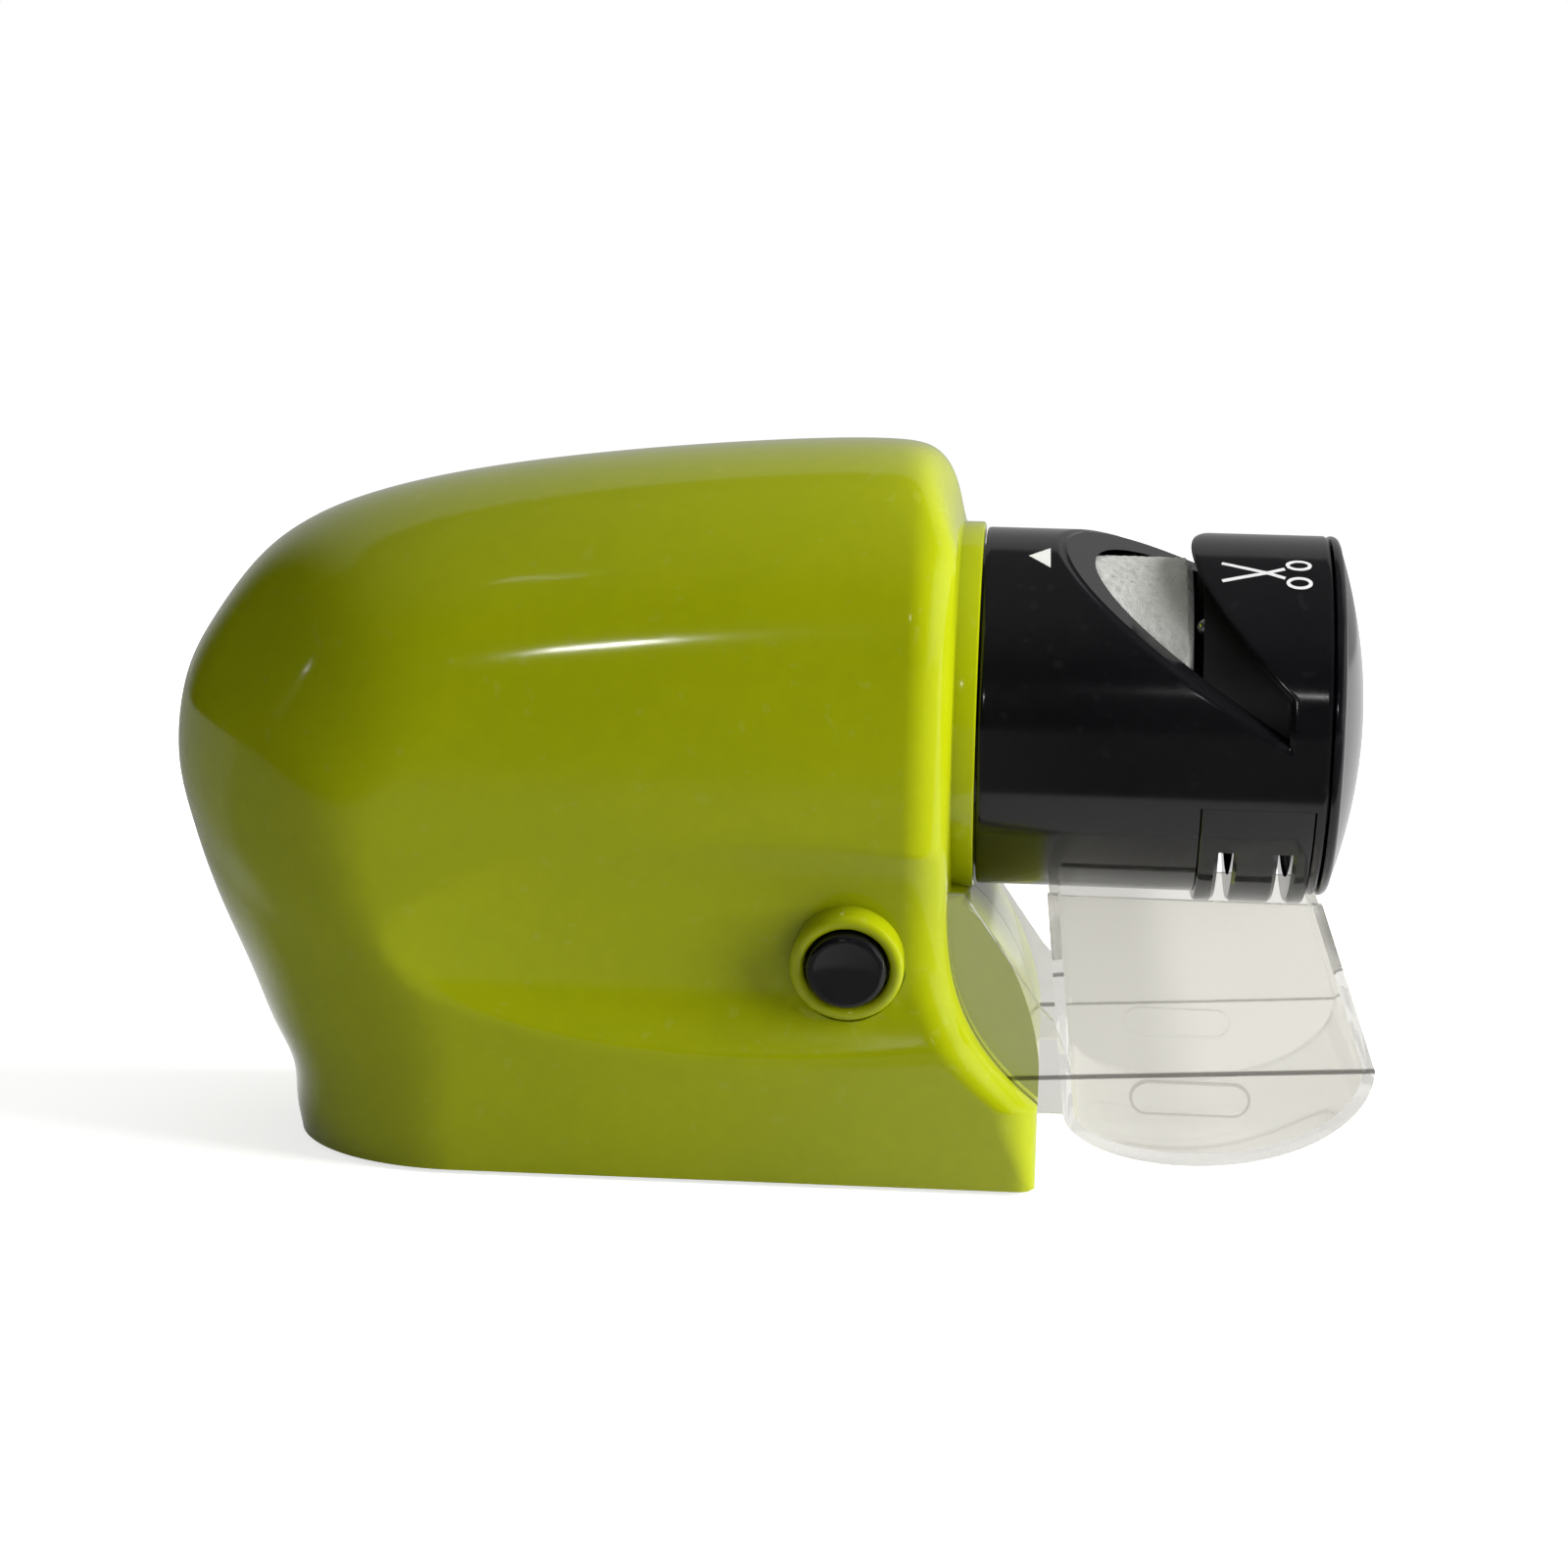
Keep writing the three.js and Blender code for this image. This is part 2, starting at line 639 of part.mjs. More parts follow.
function bodyShells() {
  const outside = bodySolid(0, skinGrid);
  const inside = bodySolid(body.wall, liningGrid);
  const around = join(outside, chinSolid(0));
  const hollow = cut(join(inside, chinSolid(body.wall)), scoopTool(body.wall));
  const skin = cut(around, scoopTool(0));
  let shell = cut(skin, hollow);

  const ring = tube(collar.backBore, collar.ringRadius, -collar.depth, -collar.lipOverlap);
  const lip = tube(collar.bore - overrun, collar.lipRadius, -collar.lipOverlap - overrun, 0);
  shell = join(shell, ring, lip);
  const bore = rod(collar.bore, -flangePocket.front - overrun, overrun);
  const pocket = rod(neck.flangeRadius + clearance, -flangePocket.back, -flangePocket.front);

  const ribLayer = cut(skin, bodySolid(body.wall + plate.ribDepth, liningGrid));
  const ribs = [atSeat(motor.frontX) - plate.ribThickness, plateFront + clearance].map((x) =>
    shared(ribLayer, box(x, x + plate.ribThickness, -body.height, body.height, plate.bottom, plate.top)),
  );
  shell = join(shell, ...ribs);

  const bosses = screwPlaces.map(({ x, height }) =>
    shared(skin, barY(screw.bossRadius, atSeat(x), baseZ + height, -body.height, body.height)),
  );
  shell = join(shell, ...bosses);
  shell = cut(shell, bore, pocket, wingSlot(-1), wingSlot(1), doorOpening());
  for (const { x, y } of footPlaces) {
    const recess = barZ(foot.radius + clearance, x, y, baseZ - overrun, baseZ + foot.recess, facets.round);
    shell = cut(shell, recess);
  }
  const nearSpace = box(-rearReach, rearReach, -body.height, -clearance / 2, -overrun, bodyTopZ + overrun);
  const farSpace = box(-rearReach, rearReach, clearance / 2, body.height, -overrun, bodyTopZ + overrun);
  return { near: nearShell(shared(shell, nearSpace), skin, around), far: farShell(shared(shell, farSpace)) };
}

// The boss lies under the scoop's floor, and the pedestal stands up from the floor to the bezel's seat
function nearShell(half, skin, around) {
  const { bezelRadius, bezelHeight, capRadius, bossRadius, bossDepth } = button;
  const boss = shared(skin, onButtonAxis(barZ(bossRadius, 0, 0, -bossDepth, overrun, facets.round)));
  const pedestal = shared(around, onButtonAxis(barZ(bezelRadius, 0, 0, -bossDepth, 0, facets.round)));
  const recess = onButtonAxis(barZ(bezelRadius + clearance, 0, 0, 0, bezelHeight + overrun, facets.round));
  const bore = onButtonAxis(barZ(capRadius + clearance, 0, 0, -bossDepth - overrun, overrun, facets.round));
  const wallY = sideHalfWidth(detentX, axisZ) - body.wall / 2;
  const detentBoss = barY(detent.bossRadius, detentX, axisZ, -wallY, -(collar.ringRadius - overrun));
  const springEnd = detentY + detent.ballRadius + detent.springLength;
  const detentRadius = detent.ballRadius + clearance;
  const detentBore = barY(detentRadius, detentX, axisZ, -springEnd, -(collar.bore - overrun));
  const pilotEnd = screw.length - screw.seat + overrun;
  const pilots = screwPlaces.map(({ x, height }) =>
    barY(screw.shankRadius + clearance, atSeat(x), baseZ + height, -pilotEnd, overrun),
  );
  return cut(join(half, boss, pedestal, detentBoss), recess, bore, detentBore, ...pilots);
}

function farShell(half) {
  const holes = screwPlaces.flatMap(({ x, height }) => [
    barY(screw.shankRadius + clearance, atSeat(x), baseZ + height, -overrun, body.height),
    barY(screw.headRadius + clearance, atSeat(x), baseZ + height, screw.seat - clearance, body.height),
  ]);
  return cut(half, ...holes);
}

// Base pieces

function batteryDoor() {
  const { halfWidth, lugLength, lugWidth, lugThickness, lugSpread, gripRadius, gripDepth, ribHeight } = door;
  const panel = box(doorRear, doorFront, -halfWidth, halfWidth, doorBottom, doorTop);
  const lugTop = lugBottom + lugThickness;
  const lugs = [-1, 1].flatMap((side) => {
    const y0 = side * lugSpread - lugWidth / 2;
    const y1 = side * lugSpread + lugWidth / 2;
    return [
      box(doorFront - overrun, doorFront + lugLength, y0, y1, lugBottom, lugTop),
      box(doorFront - overrun, doorFront, y0, y1, doorTop - lugThickness, lugTop),
    ];
  });
  const grip = barZ(gripRadius, doorRear, 0, doorBottom - overrun, doorBottom + gripDepth, facets.round);
  const bar = box(doorRear + lugLength, doorRear + 2 * lugLength, -gripRadius / 2, gripRadius / 2,
    doorBottom + gripDepth - ribHeight, doorTop);
  return join(cut(join(panel, ...lugs), grip), bar);
}

function rubberFeet() {
  const thickness = foot.recess - clearance + footLift;
  return footPlaces.map(({ x, y }) => barZ(foot.radius, x, y, 0, thickness, facets.round));
}

// A pan-head screw whose head's underside lies at height nought
function panScrew({ headRadius, headHeight, shankRadius, length }) {
  return turnedZ([
    [0, -length], [shankRadius, -length + shankRadius], [shankRadius, 0], [headRadius, 0],
    [headRadius, headHeight / 2], [headRadius / 2, headHeight], [0, headHeight],
  ], facets.small);
}

function housingScrews() {
  const { headRadius, headHeight, crossDepth, crossWidth } = screw;
  const [long, short] = [headRadius / 2, crossWidth / 2];
  const [z0, z1] = [headHeight - crossDepth, headHeight + overrun];
  const cross = [box(-long, long, -short, short, z0, z1), box(-short, short, -long, long, z0, z1)];
  const one = cut(panScrew(screw), ...cross);
  return screwPlaces.map(({ x, height }) =>
    one.rotate(-90, 0, 0).translate(atSeat(x), screw.seat, baseZ + height),
  );
}

// Battery bay

const cellRows = [0, 1].map((row) => cell.bottom + cell.radius + row * cell.pitch);
const cellPlaces = [-1, 1].flatMap((side) =>
  cellRows.map((z, row) => ({ y: (side * cell.pitch) / 2, z, forward: (side > 0) === (row > 0) })),
);

// A cell along X with its nub at its front, or turned round
function cellSolid({ y, z, forward }) {
  const { radius, length, nubRadius, nubLength, lip } = cell;
  const shape = turnedZ([
    [0, 0], [radius - lip, 0], [radius, lip], [radius, length - lip], [radius - lip, length],
    [nubRadius, length], [nubRadius, length + nubLength], [0, length + nubLength],
  ]);
  const full = length + nubLength + clearance;
  return forward
    ? shape.rotate(0, 90, 0).translate(bayFront - full, y, z)
    : shape.rotate(0, -90, 0).translate(bayRear + full, y, z);
}

const bayTop = cellRows[1] + cell.radius + bay.topGap;
const bayHalf = cell.pitch / 2 + cell.radius + bay.sideGap;

function batteryCradle() {
  const x0 = bayRear - contact.thickness - clearance;
  const x1 = bayFront + contact.thickness + clearance;
  const z0 = baseZ + body.wall + clearance;
  const { wall } = bay;
  const walls = box(x0 - wall, x1 + wall, -bayHalf - wall, bayHalf + wall, z0, bayTop + wall);
  const reach = wall + bay.flange;
  const flange = box(x0 - reach, x1 + reach, -bayHalf - reach, bayHalf + reach, z0, z0 + bay.flangeThickness);
  const hollow = box(x0, x1, -bayHalf, bayHalf, z0 - overrun, bayTop);
  const lugRoom = [-1, 1].map((side) => {
    const y = side * door.lugSpread;
    const room = door.lugWidth / 2 + clearance;
    const end = x1 + reach + overrun;
    return box(doorFront - overrun, end, y - room, y + room, z0 - overrun, z0 + cell.radius);
  });
  return cut(join(walls, flange), hollow, ...lugRoom);
}

// Contact plates: at the front each joins a column of cells, at the rear the lower pair is joined
function contactPlates(x0, columns) {
  const { thickness, halfWidth, margin } = contact;
  return columns.map(({ y0, y1, z0, z1 }) =>
    box(x0, x0 + thickness, y0 - halfWidth, y1 + halfWidth, z0 - margin, z1 + margin),
  );
}

const halfPitch = cell.pitch / 2;
const frontColumns = [-halfPitch, halfPitch].map((y) => ({ y0: y, y1: y, z0: cellRows[0], z1: cellRows[1] }));
const rearColumns = [
  { y0: -halfPitch, y1: halfPitch, z0: cellRows[0], z1: cellRows[0] },
  { y0: -halfPitch, y1: -halfPitch, z0: cellRows[1], z1: cellRows[1] },
  { y0: halfPitch, y1: halfPitch, z0: cellRows[1], z1: cellRows[1] },
];

function cellSprings() {
  const { radius, tipRadius, wire, turns } = cellSpring;
  const one = coil(radius, tipRadius, wire, turns, 0, bay.springRoom);
  return cellPlaces.map(({ y, z, forward }) =>
    forward
      ? one.rotate(0, 90, 0).translate(bayRear + clearance, y, z)
      : one.rotate(0, -90, 0).translate(bayFront - clearance, y, z),
  );
}

// Motor

const motorRear = motor.frontX - motor.length;
const motorScrewPlaces = [-1, 1].map((side) => ({ y: side * motor.screwSpread, z: axisZ }));

function motorCan() {
  const { radius, flatHalfHeight, frontX, bushRadius, bushLength, shaftRadius } = motor;
  const can = shared(
    rod(radius, motorRear, frontX, facets.wheel),
    box(atSeat(motorRear), atSeat(frontX), -radius, radius, axisZ - flatHalfHeight, axisZ + flatHalfHeight),
  );
  const bush = rod(bushRadius, frontX - overrun, frontX + bushLength, facets.round);
  const boreStart = frontX - motor.shaftTail - clearance;
  const bore = rod(shaftRadius + runningGap, boreStart, frontX + bushLength + overrun, facets.small);
  const holes = motorScrewPlaces.map(({ y, z }) =>
    rod(motorScrew.shankRadius + clearance, frontX - motorScrew.length, frontX + overrun, facets.small, y, z),
  );
  return cut(join(can, bush), bore, ...holes);
}

function motorEndBell() {
  const start = motorRear - clearance - motor.bellLength;
  const bell = rod(motor.bellRadius, start, motorRear - clearance, facets.wheel);
  const { bellRadius, flatHalfHeight } = motor;
  const flats = box(atSeat(start), atSeat(motorRear), -bellRadius, bellRadius, axisZ - flatHalfHeight,
    axisZ + flatHalfHeight);
  const hub = rod(motor.bushRadius, start - motor.bushLength, start + overrun, facets.round);
  return join(shared(bell, flats), hub);
}

function motorTerminals() {
  const end = atSeat(motorRear - motor.bellLength) - 2 * clearance;
  const { terminalLength, terminalWidth, terminalThickness, terminalSpread } = motor;
  return [-1, 1].map((side) => {
    const y = side * terminalSpread;
    return box(end - terminalLength, end, y - terminalThickness / 2, y + terminalThickness / 2,
      axisZ - terminalWidth / 2, axisZ + terminalWidth / 2);
  });
}

function motorPlate() {
  const outlineSolid = bodySolid(body.wall + plate.inset, liningGrid);
  const x0 = atSeat(motor.frontX) + clearance;
  const slab = box(x0, x0 + plate.thickness, -body.height, body.height, plate.bottom, plate.top);
  const holeEnd = motor.frontX + clearance + plate.thickness + overrun;
  const hole = rod(plate.hole, motor.frontX, holeEnd, facets.round);
  const screwHoles = motorScrewPlaces.map(({ y, z }) =>
    rod(motorScrew.shankRadius + clearance, motor.frontX, holeEnd, facets.small, y, z),
  );
  return cut(shared(outlineSolid, slab), scoopTool(body.wall + plate.inset), hole, ...screwHoles);
}

function motorScrews() {
  const x = plateFront + clearance;
  return motorScrewPlaces.map(({ y, z }) => panScrew(motorScrew).rotate(0, 90, 0).translate(x, y, z));
}

// Spindle: everything that turns with the motor's shaft

const stoneStart = arbor.flangeEnd + clearance;
const stoneEnd = stoneStart + scissorStone.length;
const spacerStart = stoneEnd + clearance;
const spacerEnd = spacerStart + spacer.length;
const knifeStart = spacerEnd + clearance;
const knifeEnd = knifeStart + knifeStone.length;
const washerStart = knifeEnd + clearance;
const washerEnd = washerStart + washer.thickness;
const nutStart = washerEnd + clearance;
const wheelBore = arbor.radius + clearance;

function motorShaft() {
  const end = arbor.hubStart + arbor.socket - clearance;
  return rod(motor.shaftRadius, motor.frontX - motor.shaftTail, end, facets.small);
}

function arborSolid() {
  const { radius, hubRadius, hubStart, flangeRadius, flangeStart, flangeEnd, end, socket } = arbor;
  const bore = motor.shaftRadius + runningGap;
  return turned([
    [hubStart + socket, 0], [hubStart + socket, bore], [hubStart, bore], [hubStart, hubRadius],
    [flangeStart, hubRadius], [flangeStart, flangeRadius], [flangeEnd, flangeRadius], [flangeEnd, radius],
    [end - radius / 3, radius], [end, radius - radius / 3], [end, 0],
  ], facets.round);
}

function scissorWheel() {
  const { radius, chamfer } = scissorStone;
  return turned([
    [stoneStart, wheelBore], [stoneStart, radius - chamfer], [stoneStart + chamfer, radius],
    [stoneEnd - chamfer, radius], [stoneEnd, radius - chamfer], [stoneEnd, wheelBore],
    [stoneStart, wheelBore],
  ], facets.wheel);
}

function knifeWheel() {
  const { radius, rimLength, bevelDepth } = knifeStone;
  const middle = (knifeStart + knifeEnd) / 2;
  return turned([
    [knifeStart, wheelBore], [knifeStart, radius - bevelDepth], [middle - rimLength / 2, radius],
    [middle + rimLength / 2, radius], [knifeEnd, radius - bevelDepth], [knifeEnd, wheelBore],
    [knifeStart, wheelBore],
  ], facets.wheel);
}

function arborNut() {
  const cornerRadius = nut.acrossFlats / Math.sqrt(3);
  const end = nutStart + nut.thickness;
  const bore = rod(wheelBore, nutStart - overrun, end + overrun, facets.round);
  return cut(rod(cornerRadius, nutStart, end, facets.nut), bore);
}

// Turning head

const drumBore = drum.radius - drum.wall;
const guideMiddle = slotTilt + 180; // the knife slots lie opposite the scissors slot
const beyondHead = 2 * drum.radius; // a reach that clears the head on every side

// The scissors slot's section, in lengths along the axis and heights above it, carried across the whole head
function scissorCutter() {
  const { tip, slopeShare, leftWall, upperSlopeShare, end, endDepth } = scissorSlot;
  const top = drum.radius + overrun;
  const lower = (x) => drum.radius - (x - tip) / slopeShare;
  const upper = (x) => endDepth + (end - x) / upperSlopeShare;
  const points = [
    [tip - overrun * slopeShare, top], [end, lower(end)], [end, endDepth], [leftWall, upper(leftWall)],
    [leftWall, top],
  ].map(([x, height]) => [atSeat(x), axisZ + height]);
  return aboutAxis(prismY(points, -beyondHead, beyondHead), slotTilt);
}

function drumSolid() {
  const neckBore = neck.radius - neck.wall;
  const flangeFront = neck.flangeBack - neck.flangeThickness;
  const shell = turned([
    [-neck.flangeBack, neckBore], [-neck.flangeBack, neck.flangeRadius], [-flangeFront, neck.flangeRadius],
    [-flangeFront, neck.radius], [clearance, neck.radius], [clearance, drum.radius], [drum.end, drum.radius],
    [drum.end, drumBore], [clearance + drum.endWall, drumBore], [clearance + drum.endWall, neckBore],
    [-neck.flangeBack, neckBore],
  ]);
  const halfAngle = knifeGuide.halfAngle + THREE.MathUtils.radToDeg(clearance / drum.radius);
  const window = sector(guideMiddle, halfAngle, knifeGuide.start - clearance, knifeGuide.end + clearance,
    beyondHead);
  const dimples = [-1, 1].map((side) => {
    const ball = new THREE.SphereGeometry(detent.ballRadius, facets.small, facets.small);
    const y = side * (neck.flangeRadius + detent.ballRadius - detent.dimpleDepth);
    return solid(ball.translate(detentX, y, axisZ));
  });
  return cut(shell, scissorCutter(), window, ...dimples);
}

function headEndCap() {
  const start = drum.end + clearance;
  const rimEnd = start + cap.rim;
  const outside = [];
  for (let i = 0; i <= facets.fillet; i++) {
    const turn = ((i / facets.fillet) * Math.PI) / 2;
    const x = rimEnd - cap.edgeRadius * (1 - Math.sin(turn));
    outside.push([x, drum.radius - cap.edgeRadius * (1 - Math.cos(turn))]);
  }
  const domeEdge = drum.radius - cap.edgeRadius;
  for (let i = 1; i <= facets.dome; i++) {
    const reach = 1 - i / facets.dome;
    outside.push([rimEnd + cap.dome * (1 - reach * reach), domeEdge * reach]);
  }
  const spigot = drumBore - clearance;
  const inner = spigot - cap.spigotWall;
  return turned([
    [start + cap.plate, 0], [start + cap.plate, inner - cap.rim], [start, inner],
    [start - cap.spigotDepth, inner], [start - cap.spigotDepth, spigot], [start, spigot],
    [start, drum.radius], ...outside,
  ]);
}

function scissorGuideSolid() {
  const { start, plate: thickness, linerWall, linerEnd, halfAngle, hole } = scissorGuide;
  const outerRadius = drumBore - clearance;
  const disc = tube(hole, outerRadius, start, start + thickness);
  const liner = shared(
    tube(outerRadius - linerWall, outerRadius, start + thickness / 2, linerEnd),
    sector(slotTilt, halfAngle, start, linerEnd + overrun, beyondHead),
  );
  const bore = restPinBar(restPin.radius + clearance, start - overrun, start + thickness + overrun);
  return cut(join(disc, liner), bore);
}

function restPinBar(radius, x0, x1) {
  return aboutAxis(rod(radius, x0, x1, facets.small, 0, axisZ + restPin.fromAxis), restPin.angle);
}

function restPinSolid() {
  const start = scissorGuide.start - restPin.proud;
  return restPinBar(restPin.radius, start, start + restPin.length);
}

// A quarter-moon saddle in the drum's window: its outside is the drum's, or the bulge's where that stands
// further out
function knifeGuideSolid() {
  const { start, end, halfAngle, bulgeRadius, bulgeOffset, slotWidth, slotHalfAngle } = knifeGuide;
  const bulgeZ = axisZ - bulgeOffset;
  const arc = (inner, x) => {
    const points = [];
    for (let i = 0; i <= facets.guide; i++) {
      const away = THREE.MathUtils.degToRad(halfAngle * ((2 * i) / facets.guide - 1));
      const across = bulgeOffset * Math.sin(away);
      const swell = bulgeOffset * Math.cos(away) + Math.sqrt(bulgeRadius * bulgeRadius - across * across);
      const reach = inner ? drumBore + clearance : Math.max(drum.radius, swell);
      const turn = THREE.MathUtils.degToRad(guideMiddle) + away;
      points.push([atSeat(x), -reach * Math.sin(turn), axisZ + reach * Math.cos(turn)]);
    }
    return inner ? points.reverse() : points;
  };
  const ring = (x) => [...arc(false, x), ...arc(true, x)];
  const saddle = band([ring(start), ring(end)]);
  const { mouthWidth, mouthDepth } = knifeGuide;
  const mouthTip = bulgeRadius - mouthDepth;
  const mouthOuter = bulgeRadius + overrun;
  const mouthReach = (mouthWidth / 2) * (1 + overrun / mouthDepth);
  const tools = [knifeGuide.firstSlot, knifeGuide.secondSlot].map((x) => {
    const slit = rod(beyondHead, x - slotWidth / 2, x + slotWidth / 2);
    const mouth = turned([
      [x - mouthReach, mouthOuter], [x, mouthTip], [x + mouthReach, mouthOuter], [x - mouthReach, mouthOuter],
    ], facets.drum, 0, bulgeZ);
    const length = sector(guideMiddle, slotHalfAngle, x - mouthReach, x + mouthReach, beyondHead);
    return shared(join(slit, aboutAxis(mouth, slotTilt)), length);
  });
  return cut(saddle, ...tools);
}

// Button

function buttonBezel() {
  const { bezelRadius, bezelBore, bezelHeight, bezelCrown } = button;
  const drop = bezelCrown * (1 - Math.SQRT1_2);
  return turnedZ([
    [bezelBore, 0], [bezelRadius, 0], [bezelRadius, bezelHeight - bezelCrown],
    [bezelRadius - drop, bezelHeight - drop],
    [bezelRadius - bezelCrown, bezelHeight], [bezelBore + bezelCrown / 2, bezelHeight],
    [bezelBore, bezelHeight - bezelCrown / 2], [bezelBore, 0],
  ]);
}

function buttonCap() {
  const { capRadius, capDish, capEdge, stemRadius, stemLength } = button;
  const drop = capEdge * (1 - Math.SQRT1_2);
  return turnedZ([
    [0, capFoot - stemLength], [stemRadius, capFoot - stemLength], [stemRadius, capFoot],
    [capRadius, capFoot], [capRadius, capTop - capEdge], [capRadius - drop, capTop - drop],
    [capRadius - capEdge, capTop],
    [capRadius / 2, capTop - capDish * (1 - Math.SQRT1_2)], [0, capTop - capDish],
  ]);
}

function buttonSpringSolid() {
  const { radius, wire, turns } = buttonSpring;
  return coil(radius, radius, wire, turns, switchFront + clearance, capFoot - clearance);
}

function powerSwitchSolid() {
  const { width, depth, boreDepth, legLength, legWidth, legThickness, legSpread } = powerSwitch;
  const back = switchFront - depth;
  const block = box(-width / 2, width / 2, -width / 2, width / 2, back, switchFront);
  const boreRadius = button.stemRadius + clearance;
  const bore = barZ(boreRadius, 0, 0, switchFront - boreDepth, switchFront + overrun, facets.round);
  const legs = [-1, 1].map((side) => {
    const x = side * legSpread - legWidth / 2;
    return box(x, x + legWidth, -legThickness / 2, legThickness / 2, back - legLength, back + clearance);
  });
  return join(cut(block, bore), ...legs);
}

// Tray

// The tray's side view: belly of two ellipse quarters, upright heel, leaning rear and front walls
function traySide(inset, rise) {
  const { bellyX, bellyHeight, heel, creaseFront, rearX, rearTopX, frontTopX, top } = tray;
  const points = [];
  for (let i = 0; i <= facets.belly; i++) {
    const turn = ((i / facets.belly) * Math.PI) / 2;
    points.push([
      bellyX + (trayReach - bellyX - inset) * Math.cos(turn),
      creaseFront - (creaseFront - bellyHeight - inset) * Math.sin(turn),
    ]);
  }
  for (let i = 1; i <= facets.belly; i++) {
    const turn = ((i / facets.belly) * Math.PI) / 2;
    points.push([
      bellyX - (bellyX - rearX - inset) * Math.sin(turn),
      heel - (heel - bellyHeight - inset) * Math.cos(turn),
    ]);
  }
  const lean = (top + rise - heel) / (top - heel);
  const frontLean = (top + rise - creaseFront) / (top - creaseFront);
  points.push([rearX + (rearTopX - rearX) * lean + inset, top + rise]);
  points.push([trayReach + (frontTopX - trayReach) * frontLean - inset, top + rise]);
  return points.map(([x, z]) => [atSeat(x), z]);
}

// The tray's section: upright sides up to a crease that climbs forwards, then shoulders that lean in
function traySection(inset, rise) {
  const { halfWidth, topHalfWidth, rearX, creaseRear, creaseFront, bellyHeight, top, wall } = tray;
  const slope = (creaseFront - creaseRear) / (trayReach - rearX);
  const ring = (x) => {
    const crease = creaseRear + slope * (x - rearX);
    const shoulder = (halfWidth - topHalfWidth) / (top - crease);
    const wide = halfWidth - inset;
    const narrow = topHalfWidth - inset - shoulder * rise;
    const drop = bellyHeight - wall - inset;
    const right = [[wide, drop], [wide, crease], [narrow, top + rise]];
    const left = right.map(([y, z]) => [-y, z]).reverse();
    return [...right, ...left].map(([y, z]) => [atSeat(x), y, z]);
  };
  return loft([ring(tray.rearTopX - tray.wall), ring(trayReach + tray.wall)]);
}

function trayTub(inset, rise) {
  const side = traySide(inset, rise);
  return shared(prismY(side, -body.height, body.height), traySection(inset, rise));
}

// A raised pad with round ends on the tray's side
function trayGrip(side) {
  const { gripX, gripHeight, gripHalfLength, gripRadius, gripProud, wall, halfWidth } = tray;
  const reach = gripHalfLength - gripRadius;
  const shape = new THREE.Shape();
  shape.absarc(reach, 0, gripRadius, -Math.PI / 2, Math.PI / 2, false);
  shape.absarc(-reach, 0, gripRadius, Math.PI / 2, (3 * Math.PI) / 2, false);
  const depth = wall / 2 + gripProud;
  const pad = new THREE.ExtrudeGeometry(shape, { depth, bevelEnabled: false, curveSegments: facets.grip });
  pad.rotateX(Math.PI / 2).translate(atSeat(gripX), halfWidth + gripProud, gripHeight);
  return side > 0 ? solid(pad) : solid(pad).mirror([0, 1, 0]);
}

function debrisTray() {
  const { wall, halfWidth, wingBottom, wingRearX, wingTopX, wingTop, wingKneeX, wingKnee, rearX } = tray;
  const tub = cut(trayTub(0, 0), trayTub(wall, overrun / 2));
  const wingPoints = [
    [wingRearX, wingBottom], [rearX + wall, wingBottom], [rearX + wall, tray.creaseRear],
    [wingKneeX + wall, wingKnee - wall], [wingKneeX, wingKnee], [wingTopX, wingTop], [wingRearX, wingTop],
  ].map(([x, z]) => [atSeat(x), z]);
  const wings = [-1, 1].map((side) => {
    const y = side > 0 ? halfWidth - wall : -halfWidth;
    return prismY(wingPoints, y, y + wall);
  });
  const grips = [-1, 1].map(trayGrip);
  const guideReach = knifeGuide.bulgeRadius + knifeGuide.bulgeOffset + clearance;
  return join(cut(tub, rod(guideReach, 0, trayReach)), ...wings, ...grips);
}

// Detent

function detentBall() {
  const ball = new THREE.SphereGeometry(detent.ballRadius, facets.small, facets.small);
  return solid(ball.translate(detentX, -detentY, axisZ));
}

function detentSpring() {
  const { ballRadius, springRadius, springWire, springTurns, springLength } = detent;
  const start = detentY + ballRadius + clearance;
  const end = detentY + ballRadius + springLength - clearance;
  const shape = coil(springRadius, springRadius, springWire, springTurns, start, end);
  return shape.rotate(90, 0, 0).translate(detentX, 0, axisZ);
}

// The assembly

const finishes = {
  lime: { color: 0x9db512, roughness: 0.16, metalness: 0 },
  black: { color: 0x141416, roughness: 0.2, metalness: 0 },
  innerBlack: { color: 0x1c1d1f, roughness: 0.5, metalness: 0 },
  grit: { color: 0xb9b8b0, roughness: 0.95, metalness: 0 },
  steel: { color: 0xa9abad, roughness: 0.3, metalness: 1 },
  brass: { color: 0xb79a58, roughness: 0.35, metalness: 1 },
  clear: { color: 0xe4e6e2, roughness: 0.08, metalness: 0, transparent: true, opacity: 0.35 },
  rubber: { color: 0x202022, roughness: 0.9, metalness: 0 },
  cream: { color: 0xd9d5c4, roughness: 0.6, metalness: 0 },
  cellSleeve: { color: 0x3d4650, roughness: 0.3, metalness: 0.4 },
};

const sharpener = new THREE.Group();

function add(name, shape, finish) {
  const mesh = new THREE.Mesh(geometryOf(shape), new THREE.MeshStandardMaterial(finishes[finish]));
  mesh.name = name;
  sharpener.add(mesh);
}

const addEach = (name, places, shapes, finish) =>
  shapes.forEach((shape, i) => add(`${name}_${places[i]}`, shape, finish));

